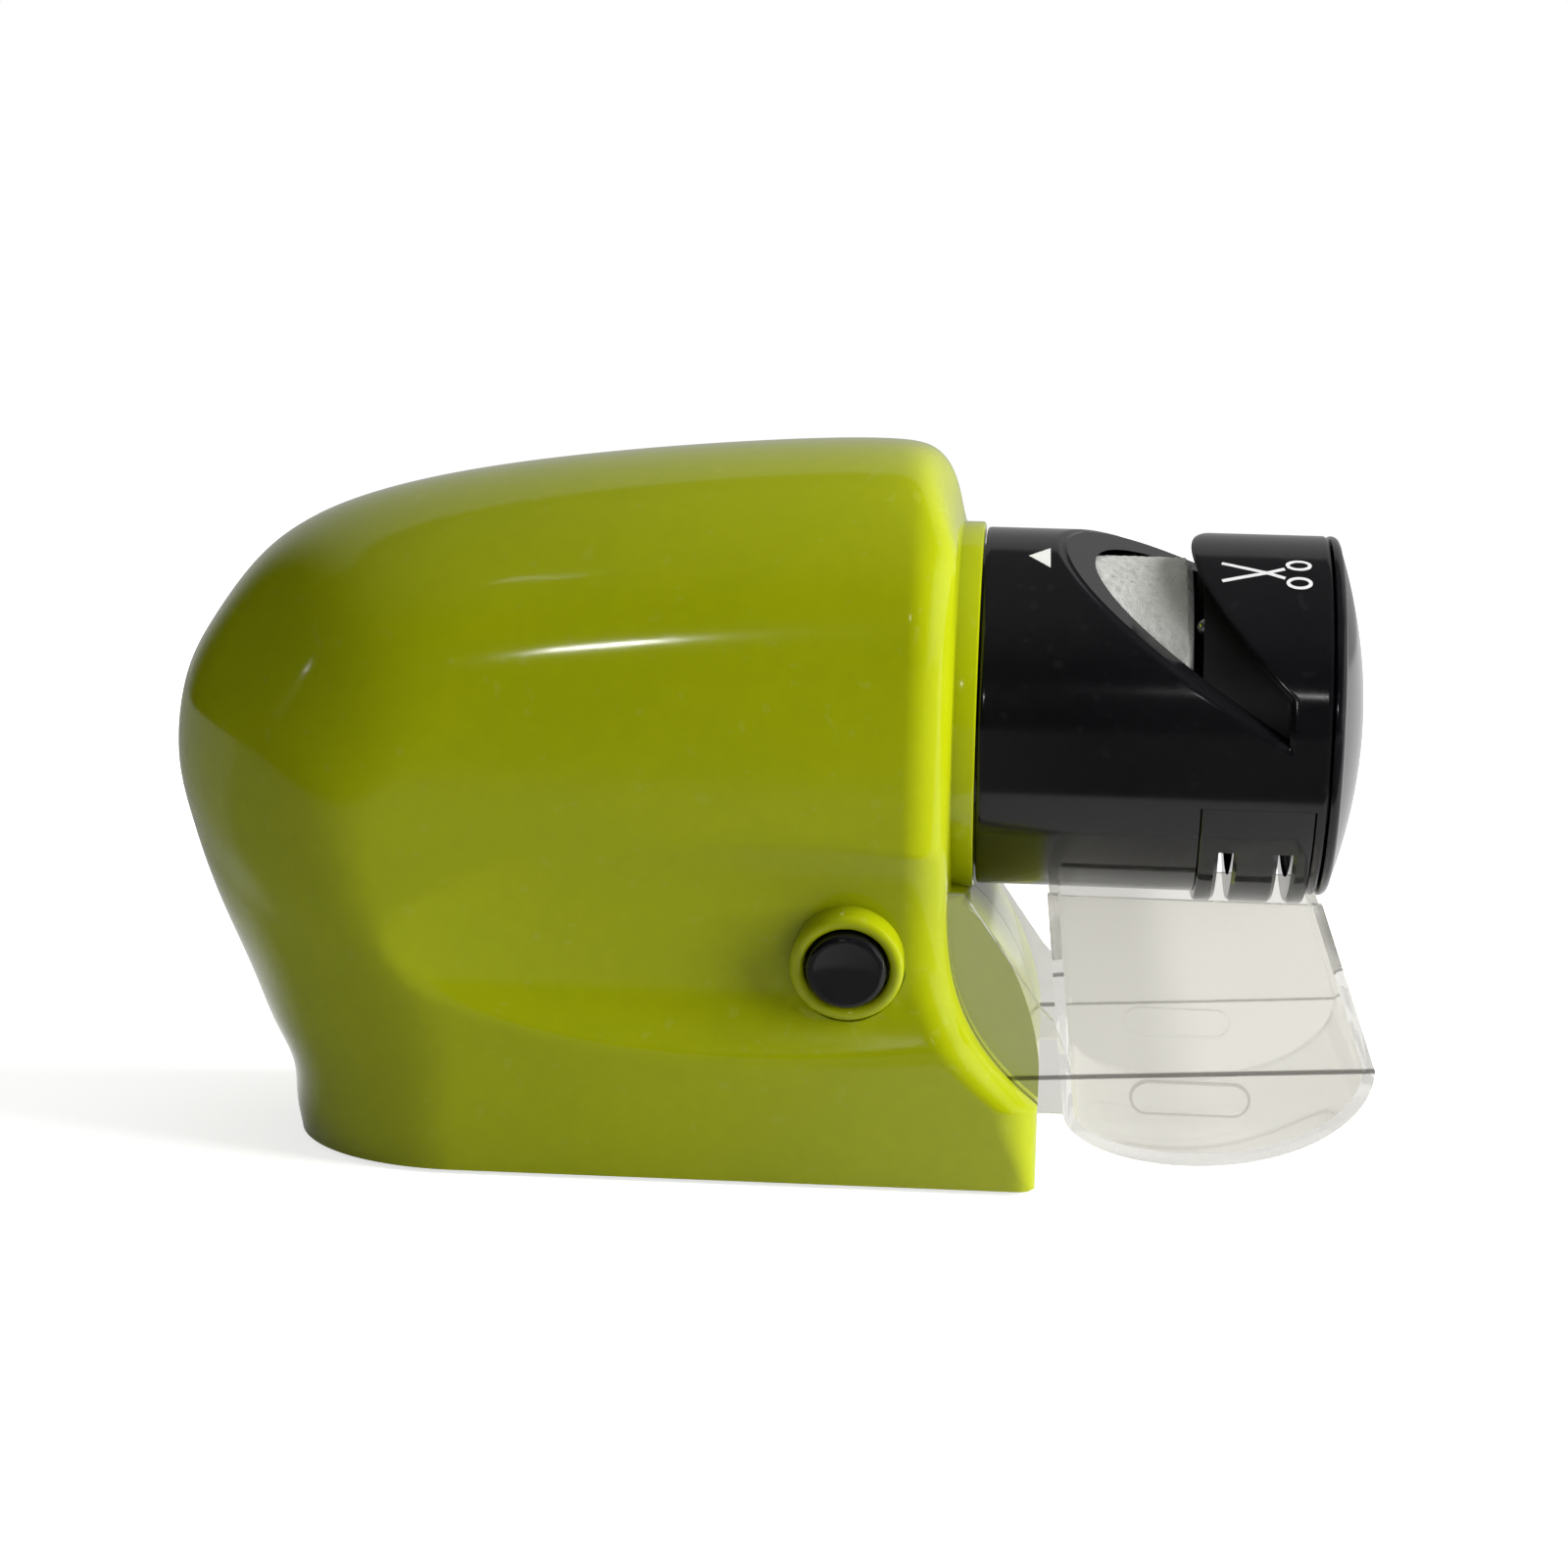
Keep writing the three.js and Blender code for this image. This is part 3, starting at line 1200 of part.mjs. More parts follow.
const shells = bodyShells();
add("near_housing", shells.near, "lime");
add("far_housing", shells.far, "lime");
addEach("body_screw", ["nose", "crown", "collar", "rear", "toe"], housingScrews(), "steel");
addEach("foot", ["rear_near", "rear_far", "front_near", "front_far"], rubberFeet(), "rubber");
add("battery_door", batteryDoor(), "lime");
add("battery_cradle", batteryCradle(), "innerBlack");
const cellNames = ["near_low", "near_high", "far_low", "far_high"];
const rearContacts = contactPlates(bayRear - contact.thickness, rearColumns);
addEach("battery", cellNames, cellPlaces.map(cellSolid), "cellSleeve");
addEach("front_contact", ["near", "far"], contactPlates(bayFront, frontColumns), "steel");
addEach("rear_contact", ["link", "near", "far"], rearContacts, "steel");
addEach("cell_spring", cellNames, cellSprings(), "steel");

add("motor_plate", motorPlate(), "innerBlack");
add("motor_can", motorCan(), "steel");
add("motor_end_bell", motorEndBell(), "cream");
addEach("motor_terminal", ["near", "far"], motorTerminals(), "brass");
addEach("motor_screw", ["near", "far"], motorScrews(), "steel");

add("motor_shaft", motorShaft(), "steel");
add("wheel_arbor", arborSolid(), "steel");
add("scissor_wheel", scissorWheel(), "grit");
add("wheel_spacer", tube(wheelBore, spacer.radius, spacerStart, spacerEnd, facets.round), "innerBlack");
add("knife_wheel", knifeWheel(), "grit");
add("arbor_washer", tube(wheelBore, washer.radius, washerStart, washerEnd, facets.round), "steel");
add("arbor_nut", arborNut(), "steel");

add("head_drum", drumSolid(), "black");
add("head_end_cap", headEndCap(), "black");
add("scissor_guide", scissorGuideSolid(), "innerBlack");
add("blade_rest_pin", restPinSolid(), "steel");
add("knife_guide", knifeGuideSolid(), "black");
add("detent_ball", detentBall(), "steel");
add("detent_spring", detentSpring(), "steel");

add("button_bezel", onButtonAxis(buttonBezel()), "lime");
add("button_cap", onButtonAxis(buttonCap()), "black");
add("button_spring", onButtonAxis(buttonSpringSolid()), "steel");
add("power_switch", onButtonAxis(powerSwitchSolid()), "innerBlack");

add("debris_tray", debrisTray(), "clear");

export default sharpener;
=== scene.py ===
"""Looks for a battery-powered knife and scissors sharpener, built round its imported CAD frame."""

import json
import logging
import math
from dataclasses import dataclass
from enum import Enum

import bmesh
import bpy
import numpy as np
from mathutils import Matrix, Vector


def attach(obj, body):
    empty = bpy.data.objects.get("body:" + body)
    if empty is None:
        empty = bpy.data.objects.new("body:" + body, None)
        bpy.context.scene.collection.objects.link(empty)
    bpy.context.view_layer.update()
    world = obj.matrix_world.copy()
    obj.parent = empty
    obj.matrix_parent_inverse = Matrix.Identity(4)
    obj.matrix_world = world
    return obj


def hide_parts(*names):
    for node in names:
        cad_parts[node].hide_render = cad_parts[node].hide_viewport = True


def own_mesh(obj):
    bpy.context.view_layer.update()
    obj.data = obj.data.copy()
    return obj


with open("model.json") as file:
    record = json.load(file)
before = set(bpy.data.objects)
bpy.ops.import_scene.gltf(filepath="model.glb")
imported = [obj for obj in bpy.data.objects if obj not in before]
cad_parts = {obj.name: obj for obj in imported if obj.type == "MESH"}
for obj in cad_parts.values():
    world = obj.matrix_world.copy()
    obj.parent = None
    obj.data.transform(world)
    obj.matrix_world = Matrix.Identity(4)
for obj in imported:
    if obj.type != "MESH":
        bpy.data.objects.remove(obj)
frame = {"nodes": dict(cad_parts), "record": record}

LOG = logging.getLogger("sharpener")
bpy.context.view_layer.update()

Shape = bpy.types.Object
Socket = bpy.types.NodeSocket
Material = bpy.types.Material

MM = 0.001
SEAT_X = 29.45  # the head's seat on the body, which lengths along X are counted from, in mm
BASE_Z = 0.6  # the height of the body's underside, in mm
AXIS_Z = 63.0  # the height of the head's axis, in mm
SAME_POINT = 0.0005 * MM
BAR_SEGMENTS = 48
LIGHT_BOUNCES = 24  # enough for light to pass the clear tray's walls and the gloss behind them


class Boolean(Enum):
    """How one solid changes another."""

    JOIN = "UNION"
    CUT = "DIFFERENCE"
    SHARE = "INTERSECT"


class Axis(Enum):
    """The axis that an outline is carried along."""

    X = 0
    Y = 1
    Z = 2


# Mesh making


def grid_quads(
    columns: int, rows: int, wrap_columns: bool = False, wrap_rows: bool = False
) -> list:
    """Quads of a grid whose points are stored column by column.

    Args:
        columns: How many columns of points there are.
        rows: How many points a column has.
        wrap_columns: Whether the last column joins the first.
        wrap_rows: Whether the last row joins the first.

    Returns:
        Four point numbers for each quad.
    """
    column = np.arange(columns if wrap_columns else columns - 1)[:, None]
    row = np.arange(rows if wrap_rows else rows - 1)[None, :]
    next_column, next_row = (column + 1) % columns, (row + 1) % rows
    corners = ((column, row), (next_column, row), (next_column, next_row), (column, next_row))
    shape = (column.size, row.size)
    quads = np.stack([np.broadcast_to(c * rows + r, shape) for c, r in corners], -1)
    return quads.reshape(-1, 4).tolist()


def solid(name: str, points: np.ndarray, faces: list, outward: bool = True) -> Shape:
    """Makes an object of points in millimetres, merges doubles and turns its faces outwards.

    Args:
        name: The object's name.
        points: An array of points, in mm in the row frame.
        faces: Lists of point numbers.
        outward: Whether the normals are worked out again.

    Returns:
        The new object, linked to the scene, at the origin.
    """
    mesh = bpy.data.meshes.new(name)
    mesh.from_pydata((np.asarray(points, float).reshape(-1, 3) * MM).tolist(), [], faces)
    shape = bmesh.new()
    shape.from_mesh(mesh)
    bmesh.ops.remove_doubles(shape, verts=shape.verts, dist=SAME_POINT)
    if outward:
        bmesh.ops.recalc_face_normals(shape, faces=shape.faces)
    shape.to_mesh(mesh)
    shape.free()
    made = bpy.data.objects.new(name, mesh)
    bpy.context.scene.collection.objects.link(made)
    return made


def loft(name: str, rings: np.ndarray, joined: bool = False) -> Shape:
    """A solid through rings of points, each joined to the next by quads.

    Args:
        name: The object's name.
        rings: An array of rings, by points, by x, y and z in mm.
        joined: Whether the last ring joins the first. If not, each end gets a flat cap.

    Returns:
        The solid.
    """
    count, size = rings.shape[:2]
    faces = grid_quads(count, size, joined, True)
    if not joined:
        faces += [list(range(size)), list(range((count - 1) * size, count * size))]
    return solid(name, rings, faces)


def carve(target: Shape, how: Boolean, *tools: Shape) -> Shape:
    """Joins, cuts or shares a solid with others, which are used up.

    Args:
        target: The solid that stays.
        how: What is done with each tool.
        tools: Closed solids.

    Returns:
        The target, with its new mesh.
    """
    for tool in tools:
        modifier = target.modifiers.new("carve", "BOOLEAN")
        modifier.solver = "MANIFOLD"
        modifier.operation = how.value
        modifier.object = tool
    graph = bpy.context.evaluated_depsgraph_get()
    mesh = bpy.data.meshes.new_from_object(target.evaluated_get(graph))
    target.modifiers.clear()
    unused = [target.data, *(tool.data for tool in tools)]
    target.data = mesh
    for tool in tools:
        bpy.data.objects.remove(tool)
    for old in unused:
        bpy.data.meshes.remove(old)
    return target


def smooth(piece: Shape, degrees: float = 30.0) -> Shape:
    """Shades a piece smooth, apart from edges sharper than an angle."""
    piece.data.shade_smooth()
    piece.data.set_sharp_from_angle(angle=math.radians(degrees))
    return piece


def box(x: tuple, y: tuple, z: tuple) -> Shape:
    """A box between two values on each axis, in mm in the row frame."""
    corners = [(a, b, c) for a in x for b in y for c in z]
    faces = [[0, 1, 3, 2], [4, 6, 7, 5], [0, 4, 5, 1], [2, 3, 7, 6], [0, 2, 6, 4], [1, 5, 7, 3]]
    return solid("box", np.array(corners), faces)


def circle(count: int) -> np.ndarray:
    """The cosine and sine of even steps round a turn."""
    turn = np.arange(count) * 2 * np.pi / count
    return np.stack([np.cos(turn), np.sin(turn)], -1)


def arc(centre: tuple, radius: float, start: float, stop: float, steps: int) -> np.ndarray:
    """Points of a circle's arc, from one angle to another in degrees."""
    turn = np.radians(np.linspace(start, stop, steps + 1))
    return np.stack([centre[0] + radius * np.cos(turn), centre[1] + radius * np.sin(turn)], -1)


def turned(
    name: str, profile: np.ndarray, segments: int, y: float = 0.0, z: float = AXIS_Z
) -> Shape:
    """A closed profile of (x from the seat, radius) turned about a line along X.

    Each profile point goes round a circle: y plus radius times cosine, z plus radius times sine.

    Args:
        name: The object's name.
        profile: An array of points, closed by itself from last to first.
        segments: How many steps the turn has.
        y: The line's place along Y.
        z: The line's height.

    Returns:
        The solid.
    """
    profile = np.asarray(profile, float)
    x = np.broadcast_to(SEAT_X + profile[:, :1], (segments, len(profile), 1))
    across = [y, z] + circle(segments)[:, None, :] * profile[:, 1:]
    return loft(name, np.concatenate([x, across], -1), True)


def rod(
    radius: float, x0: float, x1: float, segments: int = 96, y: float = 0.0, z: float = AXIS_Z
) -> Shape:
    """A round bar along X, between two lengths from the seat."""
    return turned("rod", [[x0, 0.0], [x0, radius], [x1, radius], [x1, 0.0]], segments, y, z)


def prism(outline: np.ndarray, low: float, high: float, axis: Axis = Axis.Y) -> Shape:
    """An outline carried straight along one axis.

    Args:
        outline: Points on the other two axes, in order, in mm.
        low: Where it starts along the axis.
        high: Where it ends.
        axis: The axis that it is carried along.

    Returns:
        The solid.
    """
    outline = np.asarray(outline, float)
    ends = [np.insert(outline, axis.value, along, axis=1) for along in (low, high)]
    return loft("prism", np.stack(ends))


def lean(piece: Shape, degrees: float) -> Shape:
    """Turns a piece about the head's axis: a positive angle leans its top towards -Y."""
    about = Matrix.Translation((0, 0, AXIS_Z * MM))
    turn = Matrix.Rotation(math.radians(degrees), 4, "X")
    piece.data.transform(about @ turn @ about.inverted())
    return piece


def ease(value: np.ndarray) -> np.ndarray:
    """A smooth step: three times the square less twice the cube of a value kept in 0 to 1."""
    share = np.clip(value, 0, 1)
    return share * share * (3 - 2 * share)


def line_distance(points: np.ndarray, line: np.ndarray) -> np.ndarray:
    """The shortest distance from each point to a line of short straight pieces.

    Args:
        points: An array of (x, z) points.
        line: The line's own points in order.

    Returns:
        One distance for each point.
    """
    start, run = line[:-1], np.diff(line, axis=0)
    away = points[:, None, :] - start[None, :, :]
    share = np.clip((away * run).sum(-1) / (run * run).sum(-1), 0, 1)
    return np.linalg.norm(away - share[..., None] * run, axis=-1).min(1)


# Shader nodes


class Value:
    """A node's output, on which plain arithmetic lays Math nodes."""

    def __init__(self, nodes: "Nodes", socket: Socket) -> None:
        """Keeps the output and the layer of nodes that it belongs to."""
        self.nodes, self.socket = nodes, socket

    def __add__(self, other: object) -> "Value":
        """The sum."""
        return self.nodes.maths("ADD", self, other)

    def __sub__(self, other: object) -> "Value":
        """The difference."""
        return self.nodes.maths("SUBTRACT", self, other)

    def __mul__(self, other: object) -> "Value":
        """The product."""
        return self.nodes.maths("MULTIPLY", self, other)

    def __pow__(self, other: object) -> "Value":
        """The power."""
        return self.nodes.maths("POWER", self, other)

    def __abs__(self) -> "Value":
        """The size without its sign."""
        return self.nodes.maths("ABSOLUTE", self)

    def root(self) -> "Value":
        """The square root."""
        return self.nodes.maths("SQRT", self)

    def at_least(self, other: object) -> "Value":
        """The larger of two values."""
        return self.nodes.maths("MAXIMUM", self, other)

    def step(self, low: float, high: float, first: float = 0.0, last: float = 1.0) -> "Value":
        """A smooth step from a first to a last value, between two values of this one."""
        ends = {"Value": self, "From Min": low, "From Max": high, "To Min": first, "To Max": last}
        return self.nodes.add("MapRange", ends, interpolation_type="SMOOTHSTEP")["Result"]


class Nodes:
    """Lays nodes and links in one node tree."""

    def __init__(self, tree: bpy.types.NodeTree) -> None:
        """Keeps the tree that nodes go into."""
        self.tree = tree

    def put(self, socket: Socket, value: object) -> None:
        """Links a value to an input, or sets a number or a colour on it."""
        if isinstance(value, Value):
            self.tree.links.new(value.socket, socket)
        else:
            socket.default_value = value

    def add(self, kind: str, inputs: dict | None = None, **settings: object) -> dict:
        """Adds a node.

        Args:
            kind: The node's Blender type, without the words Shader Node in front.
            inputs: A value for each input's name or number.
            settings: Properties of the node, which are set first.

        Returns:
            Its outputs, by number and by name.
        """
        node = self.tree.nodes.new("ShaderNode" + kind)
        for name, setting in settings.items():
            setattr(node, name, setting)
        for name, value in (inputs or {}).items():
            self.put(node.inputs[name], value)
        return self.outputs(node)

    def outputs(self, node: bpy.types.Node) -> dict:
        """A node's outputs, by number and by name."""
        return {
            key: Value(self, socket)
            for number, socket in enumerate(node.outputs)
            for key in (number, socket.name)
        }

    def maths(self, operation: str, *values: object) -> Value:
        """The result of a Math node."""
        return self.add("Math", dict(enumerate(values)), operation=operation)[0]

    def mix(self, share: object, first: object, second: object) -> Value:
        """A colour between two colours."""
        return self.add("Mix", {0: share, 6: first, 7: second}, data_type="RGBA")[2]

    def noise(self, vector: Value, scale: object, detail: float) -> Value:
        """A noise texture's value."""
        inputs = {"Vector": vector, "Scale": scale, "Detail": detail, "Roughness": 0.55}
        return self.add("TexNoise", inputs)["Fac"]


class Group:
    """A shader node group that is being made, with named sockets."""

    def __init__(self, name: str, inputs: dict, outputs: dict) -> None:
        """Starts the group.

        Args:
            name: The group's name.
            inputs: A default for each input's name: None for a vector, a tuple for a colour.
            outputs: The socket type for each output's name.
        """
        self.tree = bpy.data.node_groups.new(name, "ShaderNodeTree")
        self.nodes = Nodes(self.tree)
        kinds = {type(None): "Vector", tuple: "Color", float: "Float"}
        for label, default in inputs.items():
            socket = self.socket(label, "INPUT", kinds[type(default)])
            if default is not None:
                socket.default_value = default
        for label, kind in outputs.items():
            self.socket(label, "OUTPUT", kind)
        self.given = self.nodes.outputs(self.tree.nodes.new("NodeGroupInput"))

    def socket(self, label: str, side: str, kind: str) -> bpy.types.NodeTreeInterfaceSocket:
        """Makes one of the group's own sockets."""
        kind = "NodeSocket" + kind
        return self.tree.interface.new_socket(label, in_out=side, socket_type=kind)

    def finish(self, results: dict) -> bpy.types.NodeTree:
        """Sends results to the outputs with their names, and gives the group."""
        leaving = self.tree.nodes.new("NodeGroupOutput")
        for name, value in results.items():
            self.nodes.put(leaving.inputs[name], value)
        return self.tree


class Effects:
    """The node groups that several finishes share, each built once."""

    def __init__(self) -> None:
        """Builds the groups."""
        self.tone = self._tone()
        self.grain = self._grain()
        self.marks = self._marks()

    def _tone(self) -> bpy.types.NodeTree:
        """Slow and fine changes of a colour's depth, from two noises."""
        grey, deep_grey = (0.5, 0.5, 0.5, 1), (0.2, 0.2, 0.2, 1)
        inputs = {"Vector": None, "Colour": grey, "Deep": deep_grey, "Amount": 0.2, "Scale": 60.0}
        group = Group("colour_drift", inputs, {"Colour": "Color"})
        given = group.given
        slow = group.nodes.noise(given["Vector"], given["Scale"], 3.0)
        fine = group.nodes.noise(given["Vector"], given["Scale"] * 14.0, 2.0)
        share = (slow * 0.7 + fine * 0.3).step(0.35, 0.65) * given["Amount"]
        return group.finish({"Colour": group.nodes.mix(share, given["Colour"], given["Deep"])})

    def _grain(self) -> bpy.types.NodeTree:
        """Surface height and a roughness that varies with it, from a coarse and a fine noise."""
        inputs = {"Vector": None, "Scale": 400.0, "Roughness": 0.2, "Spread": 0.05}
        group = Group("moulded_grain", inputs, {"Height": "Float", "Roughness": "Float"})
        given = group.given
        coarse = group.nodes.noise(given["Vector"], given["Scale"], 2.0)
        fine = group.nodes.noise(given["Vector"], given["Scale"] * 5.0, 4.0)
        height = coarse * 0.65 + fine * 0.35
        roughness = given["Roughness"] + (height - 0.5) * (given["Spread"] * 4.0)
        return group.finish({"Height": height, "Roughness": roughness})

    def _marks(self) -> bpy.types.NodeTree:
        """A mask of long thin marks: noise stretched one way and kept only at its peaks."""
        inputs = {"Vector": None, "Scale": 300.0, "Amount": 0.3}
        group = Group("fine_marks", inputs, {"Mask": "Float"})
        nodes, given, ways = group.nodes, group.given, []
        for angle in (0.3, 1.9):
            aimed = {"Vector": given["Vector"], "Rotation": (angle, angle, angle)}
            drawn = {"Vector": nodes.add("Mapping", aimed)[0], "Scale": (1.0, 0.03, 1.0)}
            stretched = nodes.add("Mapping", drawn)[0]
            ways.append(nodes.noise(stretched, given["Scale"], 1.0).step(0.70, 0.76))
        return group.finish({"Mask": ways[0].at_least(ways[1]) * given["Amount"]})


class Surface:
    """A material that is being made: its nodes, its shader and its Object coordinates."""

    def __init__(self, name: str, effects: Effects | None = None) -> None:
        """Starts the material, with the shared effects if it uses them."""
        self.material = bpy.data.materials.new(name)
        self.material.use_nodes = True
        self.nodes = Nodes(self.material.node_tree)
        self.shader = self.material.node_tree.nodes["Principled BSDF"]
        self.place = self.nodes.add("TexCoord")["Object"]
        self.effects = effects

    def axes(self) -> dict:
        """The Object coordinates by axis name."""
        return self.nodes.add("SeparateXYZ", {0: self.place})

    def tone(self, colour: tuple, deep: tuple, amount: float, scale: float) -> Value:
        """A colour that drifts to a deeper one."""
        inputs = {"Colour": colour, "Deep": deep, "Amount": amount, "Scale": scale}
        return self._effect(self.effects.tone, inputs)["Colour"]

    def grain(
        self, roughness: float, spread: float, scale: float, vector: Value | None = None
    ) -> dict:
        """A grain's height and roughness, in the Object coordinates or another vector's."""
        inputs = {"Scale": scale, "Roughness": roughness, "Spread": spread}
        return self._effect(self.effects.grain, inputs, vector)

    def marks(self, amount: float, scale: float) -> Value:
        """A mask of handling marks."""
        return self._effect(self.effects.marks, {"Scale": scale, "Amount": amount})["Mask"]

    def _effect(self, tree: bpy.types.NodeTree, inputs: dict, vector: Value | None = None) -> dict:
        """Places a shared effect with its own values."""
        return self.nodes.add("Group", {"Vector": vector or self.place, **inputs}, node_tree=tree)

    def bump(self, height: Value, depth: float) -> Value:
        """A normal from a height, with the depth in metres."""
        inputs = {"Strength": 1.0, "Distance": depth, "Height": height}
        return self.nodes.add("Bump", inputs)[0]

    def finish(self, inputs: dict) -> Material:
        """Sets the shader's inputs and gives the material."""
        for name, value in inputs.items():
            self.nodes.put(self.shader.inputs[name], value)
        return self.material


@dataclass(frozen=True)
class Moulded:
    """An opaque plastic, polished or plain, with its grain and handling marks."""

    name: str
    colour: tuple
    deep: tuple
    roughness: float = 0.45
    spread: float = 0.05
    drift: float = 0.25
    drift_scale: float = 28.0
    grain_scale: float = 500.0
    grain_depth: float = 4e-6
    marks: float = 0.0
    marks_scale: float = 420.0
    marks_colour: tuple = (0.6, 0.6, 0.6, 1)
    marks_roughness: float = 0.3

    def build(self, effects: Effects) -> Material:
        """The material, made from the shared effects."""
        surface = Surface(self.name, effects)
        colour = surface.tone(self.colour, self.deep, self.drift, self.drift_scale)
        grain = surface.grain(self.roughness, self.spread, self.grain_scale)
        roughness = grain["Roughness"]
        if self.marks > 0:
            marks = surface.marks(self.marks, self.marks_scale)
            colour = surface.nodes.mix(marks, colour, self.marks_colour)
            roughness = roughness + marks * self.marks_roughness
        normal = surface.bump(grain["Height"], self.grain_depth)
        return surface.finish({"Base Color": colour, "Roughness": roughness, "Normal": normal})


@dataclass(frozen=True)
class Metal:
    """A bare metal, drawn or turned, with its brushing along one direction."""

    name: str
    colour: tuple
    deep: tuple
    roughness: float = 0.28
    spread: float = 0.08
    drift: float = 0.5
    drift_scale: float = 120.0
    brushing: tuple = (1.0, 30.0, 30.0)
    grain_scale: float = 300.0
    grain_depth: float = 6e-6

    def build(self, effects: Effects) -> Material:
        """The material, made from the shared effects."""
        surface = Surface(self.name, effects)
        brushed = surface.nodes.add("Mapping", {"Vector": surface.place, "Scale": self.brushing})
        grain = surface.grain(self.roughness, self.spread, self.grain_scale, brushed[0])
        return surface.finish({
            "Base Color": surface.tone(self.colour, self.deep, self.drift, self.drift_scale),
            "Roughness": grain["Roughness"],
            "Metallic": 1.0,
            "Normal": surface.bump(grain["Height"], self.grain_depth),
        })


@dataclass(frozen=True)
class Grit:
    """A bonded abrasive: light crystals and dark pores in a matt body."""

    name: str
    colour: tuple
    crystal: tuple
    pore: tuple
    drift: float = 0.28
    drift_scale: float = 90.0
    scale: float = 2600.0
    crystal_edge: tuple = (0.05, 0.28, 1.0, 0.0)
    crystal_share: float = 0.45
    pore_scale: float = 0.6
    pore_edge: tuple = (0.60, 0.74, 0.0, 0.45)
    roughness: tuple = (0.3, 0.7, 0.75, 0.95)
    depth: float = 8e-5

    def build(self, effects: Effects) -> Material:
        """The material: two cell patterns for crystals and pores over a drifting body colour."""
        surface = Surface(self.name, effects)
        nodes, place = surface.nodes, surface.place
        cells = nodes.add("TexVoronoi", {"Vector": place, "Scale": self.scale})
        crystals = cells["Distance"].step(*self.crystal_edge)
        speckle = nodes.noise(place, self.scale * self.pore_scale, 2.0)
        pores = speckle.step(*self.pore_edge)
        body = surface.tone(self.colour, self.pore, self.drift, self.drift_scale)
        colour = nodes.mix(crystals * self.crystal_share, body, self.crystal)
        return surface.finish({
            "Base Color": nodes.mix(pores, colour, self.pore),
            "Roughness": speckle.step(*self.roughness),
            "Normal": surface.bump(crystals + speckle - pores, self.depth),
        })


@dataclass(frozen=True)
class Clear:
    """A clear moulded plastic with a faint tint, and painted shade lines at a crease and round
    grips.

    The painted shade lines stand in for the shade of the rounded crease and grip edges in the clear
    wall, and lie on the tray's sides only. Round the grips the painted shade is stronger towards -Y
    than towards +Y. The crease starts at a place along X and a height, and climbs along X. A grip
    is a stadium in the side view, given by its middle along X and Z, its half length and its
    radius.
    Lengths are in metres.
    """

    name: str
    colour: tuple
    # the dark colour painted along the crease and round the grips, standing in for their shade
    painted_shade_colour: tuple
    crease: tuple
    grip: tuple
    side: float = 0.025
    skin: tuple = (0.0007, 0.0003)
    line: float = 0.0005
    grip_line: float = 0.6
    # how strong the grips' painted shade is on the near side and on the far side
    near_side_shade_strength: tuple = (0.45, 0.08)
    roughness: float = 0.03
    spread: float = 0.01
    ripple_scale: float = 60.0
    ripple_depth: float = 1e-5
    marks: float = 0.10
    marks_scale: float = 300.0
    index: float = 1.46
    clearness: float = 0.93

    def painted_shade_share(self, away: Value, width: float) -> Value:
        """How much of a painted shade line shows at a distance from its middle."""
        return abs(away).step(width / 3, width, 1.0, 0.0)

    def shade(self, axes: dict) -> Value:
        """The share of painted shade at a place: the crease or the grip's ring, on the sides."""
        start, height, slope = self.crease
        crease = axes["Z"] - ((axes["X"] - start) * slope + height)
        middle, level, half_length, radius = self.grip
        across = (abs(axes["X"] - middle) - half_length).at_least(0.0) ** 2.0
        up = abs(axes["Z"] - level) ** 2.0
        ring = (across + up).root() - radius
        strength = axes["Y"].step(-self.side, self.side, *self.near_side_shade_strength)
        grip_line_shade = self.painted_shade_share(ring, self.grip_line * self.line) * strength
        outer = abs(axes["Y"]).step(*(self.side - depth for depth in self.skin))
        return self.painted_shade_share(crease, self.line).at_least(grip_line_shade) * outer

    def build(self, effects: Effects) -> Material:
        """The material: a transmitting shader, a slight ripple, handling marks, painted shade
        lines.
        """
        surface = Surface(self.name, effects)
        grain = surface.grain(self.roughness, self.spread, self.ripple_scale)
        shade = self.shade(surface.axes())
        return surface.finish({
            # painted shade: the base colour darkens along the crease and round the grips
            "Base Color": surface.nodes.mix(shade, self.colour, self.painted_shade_colour),
            "Roughness": grain["Roughness"] + surface.marks(self.marks, self.marks_scale),
            "Transmission Weight": self.clearness,
            "IOR": self.index,
            "Normal": surface.bump(grain["Height"], self.ripple_depth),
        })


@dataclass(frozen=True)
class Sleeve:
    """The printed sleeve of a cell: dark, with a lighter band near one end."""

    name: str
    colour: tuple
    band: tuple
    x_bounds: tuple
    deep: tuple = (0, 0, 0, 1)
    band_shares: tuple = (0.70, 0.705, 0.93, 0.935)
    drift: float = 0.2
    drift_scale: float = 40.0
    roughness: float = 0.3
    spread: float = 0.05
    grain_scale: float = 300.0
    grain_depth: float = 6e-6
    metallic: float = 0.35

    def build(self, effects: Effects) -> Material:
        """The material: the band is told by the place along X."""
        surface = Surface(self.name, effects)
        low, high = self.x_bounds
        rise, risen, fall, fallen = (low + share * (high - low) for share in self.band_shares)
        along = surface.axes()["X"]
        band = along.step(rise, risen) * along.step(fall, fallen, 1.0, 0.0)
        tone = surface.tone(self.colour, self.deep, self.drift, self.drift_scale)
        grain = surface.grain(self.roughness, self.spread, self.grain_scale)
        return surface.finish({
            "Base Color": surface.nodes.mix(band, tone, self.band),
            "Roughness": grain["Roughness"],
            "Metallic": self.metallic,
            "Normal": surface.bump(grain["Height"], self.grain_depth),
        })


